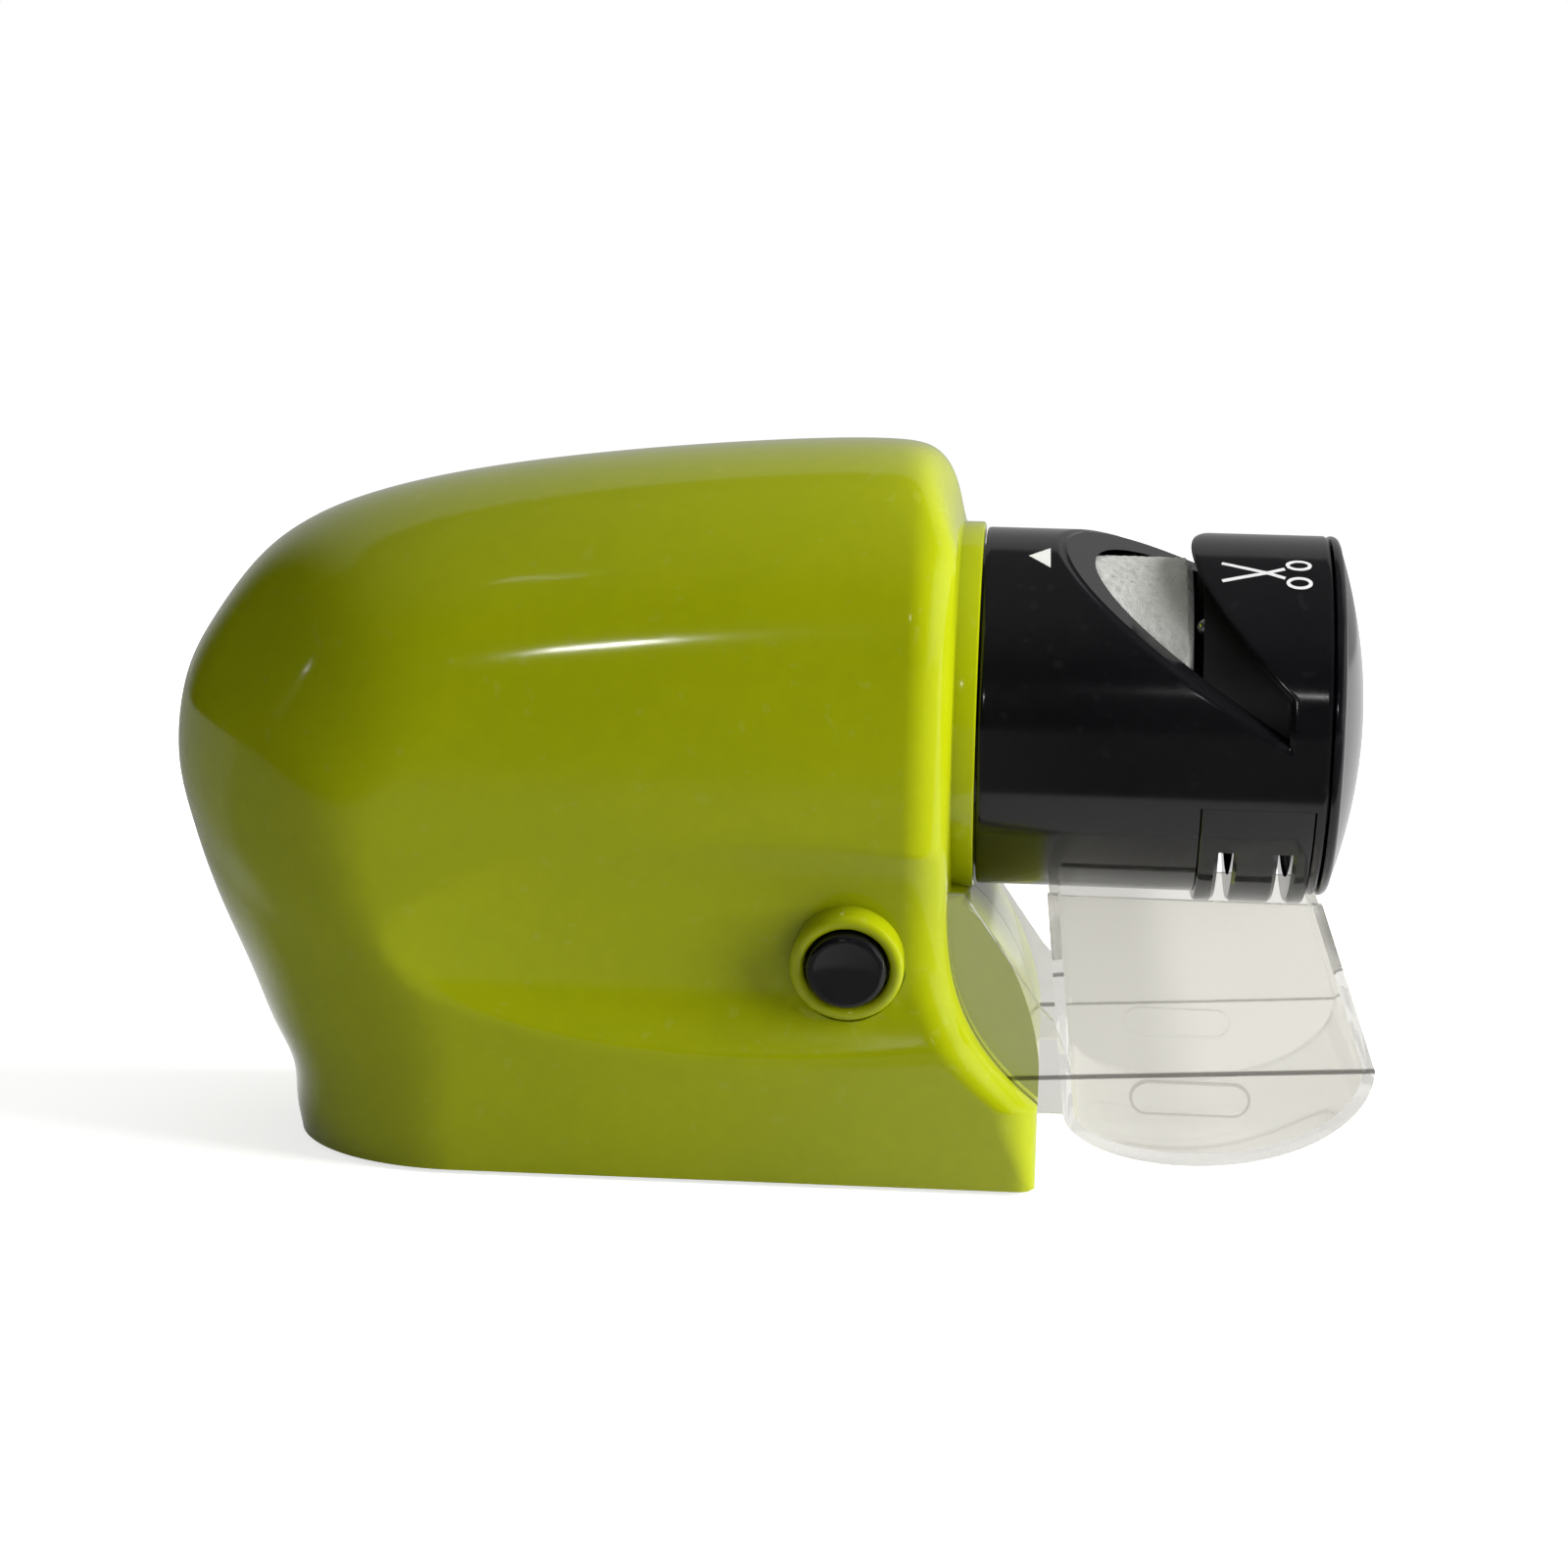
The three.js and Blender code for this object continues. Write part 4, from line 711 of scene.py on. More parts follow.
class Finishes:
    """Every finish of the sharpener, by the record's material slot."""

    def __init__(self) -> None:
        """Builds the shared effects and all materials."""
        effects = Effects()
        kinds = {
            "green_body": Moulded(
                "polished_lime", (0.30, 0.338, 0.002, 1), (0.235, 0.275, 0.0025, 1),
                roughness=0.10, spread=0.02, drift=0.35, grain_scale=240.0, grain_depth=3e-6,
                marks=0.05, marks_colour=(0.5, 0.55, 0.2, 1),
            ),
            "black_gloss": Moulded(
                "polished_black", (0.0045, 0.0045, 0.0055, 1), (0.008, 0.008, 0.009, 1),
                roughness=0.12, spread=0.02, drift=0.5, grain_scale=300.0, grain_depth=3.5e-6,
                marks=0.08, marks_colour=(0.05, 0.05, 0.055, 1),
            ),
            "black_matte": Moulded(
                "plain_black", (0.010, 0.010, 0.011, 1), (0.02, 0.02, 0.021, 1),
                roughness=0.42, drift=0.4, grain_scale=900.0, grain_depth=1e-5,
            ),
            "cream_plastic": Moulded("plain_cream", (0.62, 0.57, 0.46, 1), (0.52, 0.46, 0.34, 1)),
            "rubber": Moulded(
                "soft_rubber", (0.012, 0.012, 0.013, 1), (0.03, 0.03, 0.03, 1),
                roughness=0.8, drift=0.6, grain_scale=1400.0, grain_depth=3e-5,
            ),
            "abrasive": Grit(
                "bonded_grit", (0.60, 0.60, 0.57, 1), (0.85, 0.85, 0.83, 1), (0.20, 0.20, 0.19, 1)
            ),
            # the clear plastic's dark second colour is painted shade along the tray's crease and
            # round its grips
            "clear_plastic": Clear(
                "clear_moulding", (0.94, 0.93, 0.89, 1), (0.09, 0.085, 0.08, 1),
                crease=(0.04285, 0.0157, 0.0630), grip=(0.05975, 0.0135, 0.0057, 0.0022),
            ),
            "steel": Metal("bright_steel", (0.60, 0.61, 0.62, 1), (0.40, 0.41, 0.42, 1)),
            "brass": Metal(
                "brass_strip", (0.72, 0.52, 0.22, 1), (0.50, 0.34, 0.12, 1), roughness=0.3
            ),
            "cell_sleeve": Sleeve(
                "cell_sleeve", (0.03, 0.035, 0.045, 1), (0.45, 0.46, 0.47, 1), (-0.041, 0.012)
            ),
        }
        self.by_slot = {slot: kind.build(effects) for slot, kind in kinds.items()}
        self.white_print = Moulded(
            "white_print", (0.78, 0.78, 0.78, 1), (0.6, 0.6, 0.6, 1),
            drift=0.3, grain_scale=700.0, grain_depth=5e-6,
        ).build(effects)

    def dress(self, piece: Shape, slot: str) -> None:
        """Gives a piece the finish of a slot."""
        piece.data.materials.clear()
        piece.data.materials.append(self.by_slot[slot])

    def place(self, piece: Shape, name: str, slot: str, body: str, *replaced: str) -> None:
        """Dresses and names a finished piece, which rides on a body and stands for CAD nodes."""
        self.dress(piece, slot)
        name_piece(piece, name, body)
        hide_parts(*replaced)


def name_piece(piece: Shape, name: str, body: str) -> None:
    """Names a finished piece and lets it ride on its body."""
    piece.name = piece.data.name = name
    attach(piece, body)
    LOG.info("%s: %d faces on %s", name, len(piece.data.polygons), body)


# The body


@dataclass(frozen=True)
class BodyScrews:
    """The screws that hold the two shells together, along Y, and their bosses. Lengths in mm."""

    places: tuple = ((-104.0, 56.0), (-66.0, 85.5), (-23.0, 90.0), (-88.0, 16.0), (-5.6, 5.4))
    boss: float = 4.0
    shank: float = 1.7
    head: float = 3.1
    seat: float = 10.7
    pilot_depth: float = 11.0
    past_seam: float = 2.0
    past_side: float = 60.0

    def rods(self, radius: float, y0: float, y1: float) -> list[Shape]:
        """A round bar of one radius along Y at every screw's place."""
        ring = radius * circle(BAR_SEGMENTS)
        return [prism([SEAT_X + x, BASE_Z + z] + ring, y0, y1) for x, z in self.places]


@dataclass(frozen=True)
class ButtonAxis:
    """The line that the power button moves along, facing the user and a little down.

    Lengths are in mm, and heights along the line are counted outwards from the bezel's seat.
    """

    x: float = -15.8
    height: float = 31.0
    tilt: float = 15.0
    seat: float = 31.4
    boss_depth: float = 3.6
    boss_radius: float = 9.2
    boss_top: float = 2.0
    pad_radius: float = 7.6
    recess_radius: float = 7.9
    recess_top: float = 6.0
    bore_radius: float = 5.65
    bore_depth: float = 7.0

    def matrix(self) -> Matrix:
        """Turns +Z into the way that the button faces, and the origin into the bezel's seat."""
        spot = Vector((SEAT_X + self.x, -self.seat, BASE_Z + self.height)) * MM
        return Matrix.Translation(spot) @ Matrix.Rotation(math.radians(90 + self.tilt), 4, "X")

    def turned(self, name: str, profile: np.ndarray, segments: int = 96) -> Shape:
        """Turns a closed profile about the line.

        Args:
            name: The object's name.
            profile: Points (radius, height).
            segments: How many steps the turn has.

        Returns:
            The solid.
        """
        profile = np.asarray(profile, float)
        height = np.broadcast_to(profile[:, 1:], (segments, len(profile), 1))
        across = circle(segments)[:, None, :] * profile[:, :1]
        made = loft(name, np.concatenate([across, height], -1), True)
        made.data.transform(self.matrix())
        return made

    def bar(self, radius: float, low: float, high: float) -> Shape:
        """A round bar along the line."""
        return self.turned("bar", [[0, low], [radius, low], [radius, high], [0, high]])


@dataclass(frozen=True)
class Housing:
    """The two body shells, as one smooth surface cut at the middle plane. Lengths in mm."""

    rear_reach: float = 113.6
    height: float = 99.3
    base_half_width: float = 31.0
    widest_half_width: float = 37.5
    widest_height: float = 57.0
    taper: float = 0.08
    taper_pivot: float = 0.3
    wall: float = 2.2
    face_inset: float = 3.0
    foot_reach: float = 10.0
    foot_height: float = 11.2
    flare_rise: float = 30.0
    front_fillet: float = 6.0
    foot_fillet: float = 2.5
    heel_height: float = 45.0
    heel_x: float = 70.0
    heel_start: float = 0.3
    heel_rear: float = 1.6
    crown_depth: float = 30.0
    nose_depth: float = 42.0
    base_depth: float = 27.0
    crown_power: float = 2.3
    nose_power: float = 2.0
    seam: float = 0.15
    hollow_x: float = -18.0
    hollow_height: float = 28.9
    hollow_half_length: float = 83.0
    hollow_half_depth: float = 16.0
    hollow_half_height: float = 25.4
    hollow_cut: float = 3.1
    hollow_soft: float = 0.4
    corner_share: float = 0.46
    edge_steps: tuple = (2, 6, 7)
    base_power: float = 1.4
    flare_power: float = 1.5
    outline_shares: tuple = (
        (-0.841, 0), (-0.848, 0.045), (-0.852, 0.091), (-0.874, 0.144), (-0.905, 0.225),
        (-0.95, 0.337), (-0.985, 0.45), (-1, 0.539), (-0.988, 0.65), (-0.95, 0.735),
        (-0.883, 0.83), (-0.772, 0.901), (-0.552, 0.958), (-0.261, 0.994), (-0.117, 1),
        (-0.066, 0.989), (-0.0405, 0.955),
    )
    face_top_share: float = 0.896
    chin_shoulder: float = 3.9
    chin_rise: float = 23.0
    chin_power: float = 1.6
    chin_half_width: float = 20.5
    collar: tuple = ((-10.8, 20.9), (-10.8, 28.0), (-4.0, 28.0), (-4.0, 20.9))
    lip: tuple = (
        (-6.0, 20.7), (-6.0, 25.7), (-0.35, 25.7), (-0.1, 25.6), (0.0, 25.35), (0.0, 20.7),
    )
    neck_bore: tuple = (22.7, -7.9, 2.0)
    neck_groove: tuple = (24.7, -8.5, -5.9)
    wing_slot: tuple = ((-10.0, 13.4), (23.2, 25.3), (10.3, 40.3))
    door_pocket: tuple = ((-12.7, -8.1), (5.7, 12.3), (1.7, 3.9))
    door_opening: tuple = ((-75.3, -10.7), (-17.3, 17.3), (-1.4, 3.8))
    feet: tuple = ((-68.0, 22.5), (0.0, 17.0))
    foot_radius: float = 4.8
    foot_span: tuple = (-2.0, 1.0)
    half_space: tuple = ((-200.0, 200.0), (-5.0, 150.0))
    outline_samples: int = 4000
    skin_grid: tuple = (340, 140)
    room_grid: tuple = (70, 30)
    boss_grid: tuple = (120, 50)
    chin_steps: tuple = (40, 12)
    ring_segments: int = 192
    least: float = 0.01
    smooth_angle: float = 32.0

    @property
    def face_x(self) -> float:
        """Where the flat front face stands."""
        return SEAT_X - self.face_inset

    def outline(self, count: int) -> tuple[np.ndarray, np.ndarray]:
        """The side outline as an even run of points with its inward normals.

        A cubic spline goes through the outline's points, with knots at the square roots of their
        spacing, and is then sampled at even lengths.

        Args:
            count: How many points are wanted.

        Returns:
            Points (x, z) and unit normals, in mm.
        """
        face_top = (-self.face_inset / self.rear_reach, self.face_top_share)
        shares = np.array([*self.outline_shares, face_top])
        points = [SEAT_X, BASE_Z] + shares * [self.rear_reach, self.height]
        steps = np.linalg.norm(np.diff(points, axis=0), axis=1) ** 0.5
        knots = np.concatenate([[0], np.cumsum(steps)])
        size = len(points)
        matrix, right = np.zeros((size, size)), np.zeros((size, 2))
        matrix[0, 0] = matrix[-1, -1] = 1
        for i in range(1, size - 1):
            before, after = steps[i - 1], steps[i]
            matrix[i, i - 1: i + 2] = before, 2 * (before + after), after
            turn = (points[i + 1] - points[i]) / after - (points[i] - points[i - 1]) / before
            right[i] = 6 * turn
        bend = np.linalg.solve(matrix, right)
        fine = np.linspace(0, knots[-1], self.outline_samples)
        span = np.clip(np.searchsorted(knots, fine, side="right") - 1, 0, size - 2)
        gap = steps[span][:, None]
        left, rest = (fine - knots[span])[:, None], (knots[span + 1] - fine)[:, None]
        curve = (
            bend[span] * rest**3 / (6 * gap)
            + bend[span + 1] * left**3 / (6 * gap)
            + (points[span] / gap - bend[span] * gap / 6) * rest
            + (points[span + 1] / gap - bend[span + 1] * gap / 6) * left
        )
        length = np.linalg.norm(np.diff(curve, axis=0), axis=1)
        length = np.concatenate([[0], np.cumsum(length)])
        even = np.linspace(0, length[-1], count)
        sampled = np.stack([np.interp(even, length, curve[:, k]) for k in (0, 1)], -1)
        tangent = np.gradient(sampled, axis=0)
        tangent /= np.linalg.norm(tangent, axis=1)[:, None]
        return sampled, np.stack([tangent[:, 1], -tangent[:, 0]], -1)

    def front_x(self, z: np.ndarray) -> np.ndarray:
        """The front surface: a foot, then a cubic curve up to the flat face."""
        up = np.clip((z - BASE_Z - self.foot_height) / self.flare_rise, 0, 1)
        return self.face_x + (self.foot_reach + self.face_inset) * (1 - up) ** 3

    def side_half_width(self, x: np.ndarray, z: np.ndarray) -> np.ndarray:
        """Half the width before the edges round over.

        It is a quarter sine up the side times a straight taper in plan.

        Args:
            x: Places along X.
            z: Heights.

        Returns:
            Half widths in mm.
        """
        up = np.clip((z - BASE_Z) / self.widest_height, 0, 1)
        swell = (self.widest_half_width - self.base_half_width) * np.sin(up * np.pi / 2)
        along = (x - (SEAT_X - self.rear_reach)) / self.rear_reach
        return (self.base_half_width + swell) * (1 + self.taper * (self.taper_pivot - along))

    def round_over(self, distance: np.ndarray, normal: np.ndarray, z: np.ndarray) -> np.ndarray:
        """The share of the full width near the outline.

        It is a superellipse from nothing at the outline to the whole width, over a depth and with a
        power that depend on how high the point is and how far upwards its outline faces.

        Args:
            distance: Distances from the outline.
            normal: The outline's inward normals.
            z: Heights.

        Returns:
            Shares from 0 to 1.
        """
        upward = np.where(normal[..., 1] < 0, normal[..., 1] ** 2, 0)
        up = ease((z - BASE_Z) / self.widest_height)
        rear = self.base_depth + (self.nose_depth - self.base_depth) * up
        depth = rear + (self.crown_depth - rear) * upward
        power = self.nose_power + (self.crown_power - self.nose_power) * upward
        left = 1 - np.clip(distance / depth, 0, 1)
        return (1 - left**power) ** (1 / power)

    def fillet_loss(self, x: np.ndarray, z: np.ndarray, inset: float) -> np.ndarray:
        """What the rounding of the front edge takes off the width.

        It is a quarter circle, whose radius is smaller towards the table.

        Args:
            x: Places along X.
            z: Heights.
            inset: How far the surface lies inside the outer one.

        Returns:
            Losses in mm.
        """
        full = self.foot_fillet
        full += (self.front_fillet - self.foot_fillet) * ease((z - BASE_Z) / self.foot_height)
        radius = np.maximum(full - inset, max(inset / 2, self.least))
        short = radius - np.clip(self.front_x(z) - inset - x, 0, radius)
        return radius - np.sqrt(radius * radius - short * short)

    def edge(self, along: np.ndarray, inset: float, start: float, top: float) -> np.ndarray:
        """The lower and front edge as a function of the share along the outline.

        Args:
            along: Shares from 0, at the rear of the base, to 1, at the top of the face.
            inset: How far the surface lies inside the outer one.
            start: Where the base starts along X.
            top: The height at which the face ends.

        Returns:
            Points (x, z) in mm.
        """
        bottom = BASE_Z + inset
        base_share = np.clip(along / self.corner_share, 0, 1)
        end = self.front_x(np.array(bottom)) - inset
        x_base = start + (end - start) * base_share**self.base_power
        foot, flare, face = self.edge_steps
        step = np.clip((along - self.corner_share) / (1 - self.corner_share), 0, 1)
        step = step * sum(self.edge_steps)
        flare_bottom = BASE_Z + self.foot_height
        flare_top = flare_bottom + self.flare_rise
        flared = (np.clip(step - foot, 0, flare) / flare) ** self.flare_power
        risen = np.sin(np.clip(step - (foot + flare), 0, face) / face * np.pi / 2)
        z = np.where(
            step < foot,
            bottom + (flare_bottom - bottom) * step / foot,
            np.where(
                step < foot + flare,
                flare_bottom + self.flare_rise * flared,
                flare_top + (top - flare_top) * risen,
            ),
        )
        x = np.where(along <= self.corner_share, x_base, self.front_x(z) - inset)
        return np.stack([x, np.where(along <= self.corner_share, bottom, z)], -1)

    def depth_inside(self, place: np.ndarray, rim: np.ndarray, normal: np.ndarray) -> np.ndarray:
        """How far points lie inside the outline.

        The distance is square to the outline at the point's own station, and towards the table it
        turns into the shortest one to the outline's rear.

        Args:
            place: Points (x, z), by stations and rows.
            rim: The outline's point at each station.
            normal: Its inward normal there.

        Returns:
            Distances in mm.
        """
        distance = ((place - rim[:, None, :]) * normal[:, None, :]).sum(-1)
        z = place[..., 1]
        low = z < BASE_Z + self.heel_height
        rear = rim[
            (rim[:, 0] < SEAT_X - self.heel_x)
            & (rim[:, 1] < BASE_Z + self.heel_rear * self.heel_height)
        ]
        up = (z[low] - BASE_Z) / self.heel_height
        near_rim = 1 - ease((up - self.heel_start) / (1 - self.heel_start))
        distance[low] += (line_distance(place[low], rear) - distance[low]) * near_rim
        return distance

    def whole(self, inset: float, columns: int, rows: int) -> Shape:
        """The whole body as one closed solid.

        A station of the outline is joined to one of the lower and front edge by a straight line in
        the side view. Each point of it has a half width, from side_half_width and round_over, which
        the hollow's floor limits on the near side with a softened edge, less fillet_loss.

        Args:
            inset: How far inside the outer surface it lies.
            columns: How many stations there are.
            rows: How many points a station has.

        Returns:
            The solid.
        """
        rim, normal = self.outline(columns)
        rim = rim + normal * inset
        rim[:, 1] = np.maximum(rim[:, 1], BASE_Z + inset)
        edge = self.edge(np.linspace(0, 1, columns), inset, rim[0, 0], rim[-1, 1])
        edge[0], edge[-1] = rim[0], rim[-1]
        share = (1 - np.cos(np.linspace(0, np.pi, rows))) / 2
        place = rim[:, None, :] + (edge - rim)[:, None, :] * share[None, :, None]
        x, z = place[..., 0], place[..., 1]
        side = self.side_half_width(x, z)
        spread = np.broadcast_to(normal[:, None, :], place.shape)
        distance = self.depth_inside(place, rim, normal)
        width = (side - inset) * self.round_over(distance, spread, z)
        floor = self.hollow_floor(x, z, inset)
        soft = self.hollow_soft if inset == 0 else self.least
        blend = np.clip(soft - np.abs(width - floor), 0, soft) ** 2 / (4 * soft)
        loss = self.fillet_loss(x, z, inset) / side
        sides = []
        for sign, reach in ((-1, np.minimum(width, floor) - blend), (1, width)):
            half = np.maximum(reach * (1 - loss), 0)
            half[:, 0] = half[0, :] = half[-1, :] = 0
            sides.append(np.stack([x, sign * half, z], -1).reshape(-1, 3))
        quads = np.array(grid_quads(columns, rows))
        count = columns * rows
        last = np.arange(columns - 1) * rows + rows - 1
        closing = np.stack([last, last + rows, count + last + rows, count + last], -1)
        faces = np.concatenate([quads, count + quads[:, ::-1], closing])
        return solid("body", np.concatenate(sides), faces.tolist())

    def chin(self, inset: float, steps: int) -> Shape:
        """The block between the tray's wings: an upright foot, then a superellipse to the face.

        Args:
            inset: How far inside the outer surface it lies.
            steps: How many points the superellipse has.

        Returns:
            The solid.
        """
        front, back = SEAT_X + self.foot_reach - inset, self.face_x - self.wall
        shoulder = BASE_Z + self.foot_height + self.chin_shoulder
        turn = np.linspace(0, np.pi / 2, steps)
        forward = np.clip(np.cos(turn), 0, 1) ** (2 / self.chin_power)
        up = np.sin(turn) ** (2 / self.chin_power)
        x = self.face_x + (front - self.face_x) * forward
        z = shoulder + (self.chin_rise - inset) * up
        start = [[back, BASE_Z + inset], [front, BASE_Z + inset]]
        end = [[back, shoulder + self.chin_rise - inset]]
        half = self.chin_half_width - inset
        return prism(np.concatenate([start, np.stack([x, z], -1), end]), -half, half)

    def hollow_floor(self, x: np.ndarray, z: np.ndarray, grow: float) -> np.ndarray:
        """How far from the middle plane the thumb hollow's floor lies: an ellipsoid.

        Args:
            x: Places along X.
            z: Heights.
            grow: How much larger each half axis is, for the inside of the wall.

        Returns:
            Distances in mm.
        """
        spot = np.array(SEAT_X + self.hollow_x), np.array(BASE_Z + self.hollow_height)
        surface = float(self.side_half_width(*spot))
        along = (x - spot[0]) / (self.hollow_half_length + grow)
        up = (z - spot[1]) / (self.hollow_half_height + grow)
        reach = self.hollow_half_depth + grow
        reach = reach * np.sqrt(np.clip(1 - along**2 - up**2, 0, 1))
        return surface - self.hollow_cut + self.hollow_half_depth - reach

    def opening(self, limits: tuple, side: int = 1) -> Shape:
        """A box for an opening, given by x from the seat, y from the middle plane, and z."""
        (x0, x1), y, z = limits
        return box((SEAT_X + x0, SEAT_X + x1), tuple(sorted(side * value for value in y)), z)

    def shell(self, screws: BodyScrews) -> Shape:
        """The walls of the whole body, with every opening but those of one side only.

        Args:
            screws: The screws whose bosses stay inside.

        Returns:
            The solid.
        """
        wall, (fine, coarse) = self.wall, self.chin_steps
        skin = carve(self.whole(0.0, *self.skin_grid), Boolean.JOIN, self.chin(0.0, fine))
        room = carve(self.whole(wall, *self.room_grid), Boolean.JOIN, self.chin(wall, coarse))
        carve(room, Boolean.CUT, *screws.rods(screws.boss, -screws.past_side, screws.past_side))
        carve(skin, Boolean.CUT, room)
        rings = (turned("ring", ring, self.ring_segments) for ring in (self.collar, self.lip))
        carve(skin, Boolean.JOIN, *rings)
        bore = rod(*self.neck_bore, self.ring_segments)
        carve(skin, Boolean.CUT, bore, rod(*self.neck_groove))
        bottom, top = self.foot_span[0], BASE_Z + self.foot_span[1]
        for side in (-1, 1):
            carve(skin, Boolean.CUT, self.opening(self.wing_slot, side))
            carve(skin, Boolean.CUT, self.opening(self.door_pocket, side))
            for x, y in self.feet:
                ring = [SEAT_X + x, side * y] + self.foot_radius * circle(BAR_SEGMENTS)
                carve(skin, Boolean.CUT, prism(ring, bottom, top, Axis.Z))
        return carve(skin, Boolean.CUT, self.opening(self.door_opening))

    def build(self, finishes: Finishes) -> None:
        """Makes the near and the far skin from one shell."""
        axis, screws = ButtonAxis(), BodyScrews()
        near = self.shell(screws)
        far = near.copy()
        far.data = near.data.copy()
        bpy.context.scene.collection.objects.link(far)
        span, rise = self.half_space
        carve(near, Boolean.SHARE, box(span, (span[0], -self.seam), rise))
        carve(far, Boolean.SHARE, box(span, (self.seam, span[1]), rise))
        boss = axis.bar(axis.boss_radius, -axis.boss_depth, axis.boss_top)
        boss = carve(boss, Boolean.SHARE, self.whole(0.0, *self.boss_grid))
        carve(near, Boolean.JOIN, boss, axis.bar(axis.pad_radius, -axis.boss_depth, 0.0))
        recess = axis.bar(axis.recess_radius, 0.0, axis.recess_top)
        bore = axis.bar(axis.bore_radius, -axis.bore_depth, axis.boss_top)
        carve(near, Boolean.CUT, recess, bore)
        pilots = screws.rods(screws.shank, -screws.pilot_depth, screws.past_seam)
        shanks = screws.rods(screws.shank, -screws.past_seam, screws.past_side)
        heads = screws.rods(screws.head, screws.seat, screws.past_side)
        carve(near, Boolean.CUT, *pilots)
        carve(far, Boolean.CUT, *shanks, *heads)
        for piece, name in ((near, "near"), (far, "far")):
            smooth(piece, self.smooth_angle)
            finishes.place(piece, f"{name}_skin", "green_body", "housing", f"{name}_housing")


# The turning head


@dataclass(frozen=True)
class TurningHead:
    """The black drum with its scissors slot, end cap, knife saddle and signs.

    Lengths are in mm, and those along X are counted from the seat. Angles are in degrees, from the
    top towards -Y.
    """

    radius: float = 25.0
    bore: float = 22.3
    end: float = 47.0
    gap: float = 0.3
    segments: int = 400
    skin_columns: int = 150
    skin_margins: tuple = (0.5, 0.4)
    neck: tuple = ((-8.2, 20.4), (-8.2, 24.4), (-6.2, 24.4), (-6.2, 22.4))
    neck_bead: tuple = ((0.0, 22.4), (0.0, 24.6), (0.12, 24.88))
    end_bead: tuple = ((-0.1, 24.88), (0.0, 24.6))
    inner_lip: tuple = (2.4, 20.4)
    slot_tilt: float = 20.0
    slot_tip: float = 10.7
    slot_slope: float = 1.696
    left_wall: float = 27.2
    upper_slope: float = 1.083
    slot_end: float = 41.5
    end_depth: float = 12.5
    slot_over: float = 3.0
    slot_half_depth: float = 30.0
    edge_reach: float = 0.8
    edge_dip: float = 0.38
    window_gap: tuple = (0.12, 0.04)
    cap_rim: float = 1.5
    cap_edge: float = 1.1
    cap_dome: float = 4.2
    cap_dome_margin: float = 0.2
    cap_spigot: float = 3.0
    cap_walls: tuple = (2.0, 3.5)
    cap_bead: tuple = ((0.0, -0.25), (0.1, -0.05), (0.3, 0.0))
    cap_segments: int = 240
    fine_segments: int = 160
    cut_reach: tuple = (40.0, 60.0)
    sector_steps: int = 24
    guide_start: float = 30.4
    guide_end: float = 45.6
    guide_half_angle: float = 85.0
    guide_edge: tuple = ((0.0, 0.45), (0.12, 0.15), (0.4, 0.0))
    guide_steps: int = 160
    bulge_radius: float = 23.9
    bulge_offset: float = 2.7
    knife_slots: tuple = (34.2, 42.2)
    knife_slot_half: float = 1.0
    knife_slot_half_angle: float = 67.0
    mouth_half: float = 1.5
    mouth_depth: float = 1.2
    mouth_over: float = 2.0
    divider: tuple = (30.0, 32.0)
    divider_bore: float = 9.0
    liner: tuple = (31.0, 43.8)
    liner_wall: float = 1.7
    liner_half_angle: float = 76.0
    liner_cut: tuple = (30.0, 46.0)
    pin_span: tuple = (29.1, 31.7)
    pin_radius: float = 1.1
    pin_hole: tuple = (1.4, 28.0, 34.0)
    pin_height: float = 20.5
    pin_angle: float = 50.0
    pin_segments: int = 32
    print_layers: tuple = (-0.05, 0.04)
    triangle: tuple = ((9.1, 24.0), (9.2, 35.0), (6.2, 29.0))
    triangle_steps: int = 9
    scissors: tuple = (38.2, 34.5)
    blade: tuple = ((-6.0, -1.9), (-3.5, -1.1), (0.0, 0.0), (2.4, 1.0))
    blade_steps: int = 25
    blade_width: float = 0.55
    ring_place: tuple = (4.3, 1.9)
    ring_size: tuple = (1.5, 0.95)
    ring_steps: int = 32
    ring_width: float = 0.5

    def round_axis(self, x: np.ndarray, radius: np.ndarray, turn: np.ndarray) -> np.ndarray:
        """Points round the axis.

        Args:
            x: Lengths from the seat.
            radius: Distances from the axis.
            turn: Angles from the top towards -Y, in radians.

        Returns:
            Points in mm in the row frame.
        """
        y, z = -radius * np.sin(turn), AXIS_Z + radius * np.cos(turn)
        return np.stack([np.broadcast_to(SEAT_X + x, radius.shape), y, z], -1)

    def slot_distance(self, x: np.ndarray, turn: np.ndarray) -> np.ndarray:
        """How far a point of the drum's surface lies outside the slot's outline.

        The slot is where the point is beyond the lower slanted plane, and short of the wall or of
        the upper plane, and short of the slot's end. Each plane's distance is divided by its slope
        on the surface.

        Args:
            x: Lengths from the seat.
            turn: Angles from the slot's middle, in radians.

        Returns:
            Distances in mm, negative inside the slot.
        """
        depth = self.radius * np.cos(turn)
        lower = x - (self.slot_tip + self.slot_slope * (self.radius - depth))
        lower = lower / np.sqrt(1 + (self.slot_slope * np.sin(turn)) ** 2)
        upper = x - (self.slot_end + self.upper_slope * (self.end_depth - depth))
        upper = upper / np.sqrt(1 + (self.upper_slope * np.sin(turn)) ** 2)
        short = np.minimum(x - self.left_wall, upper)
        outside = np.maximum(np.maximum(-lower, short), x - self.slot_end)
        return np.where(np.cos(turn) > 0, outside, self.radius)

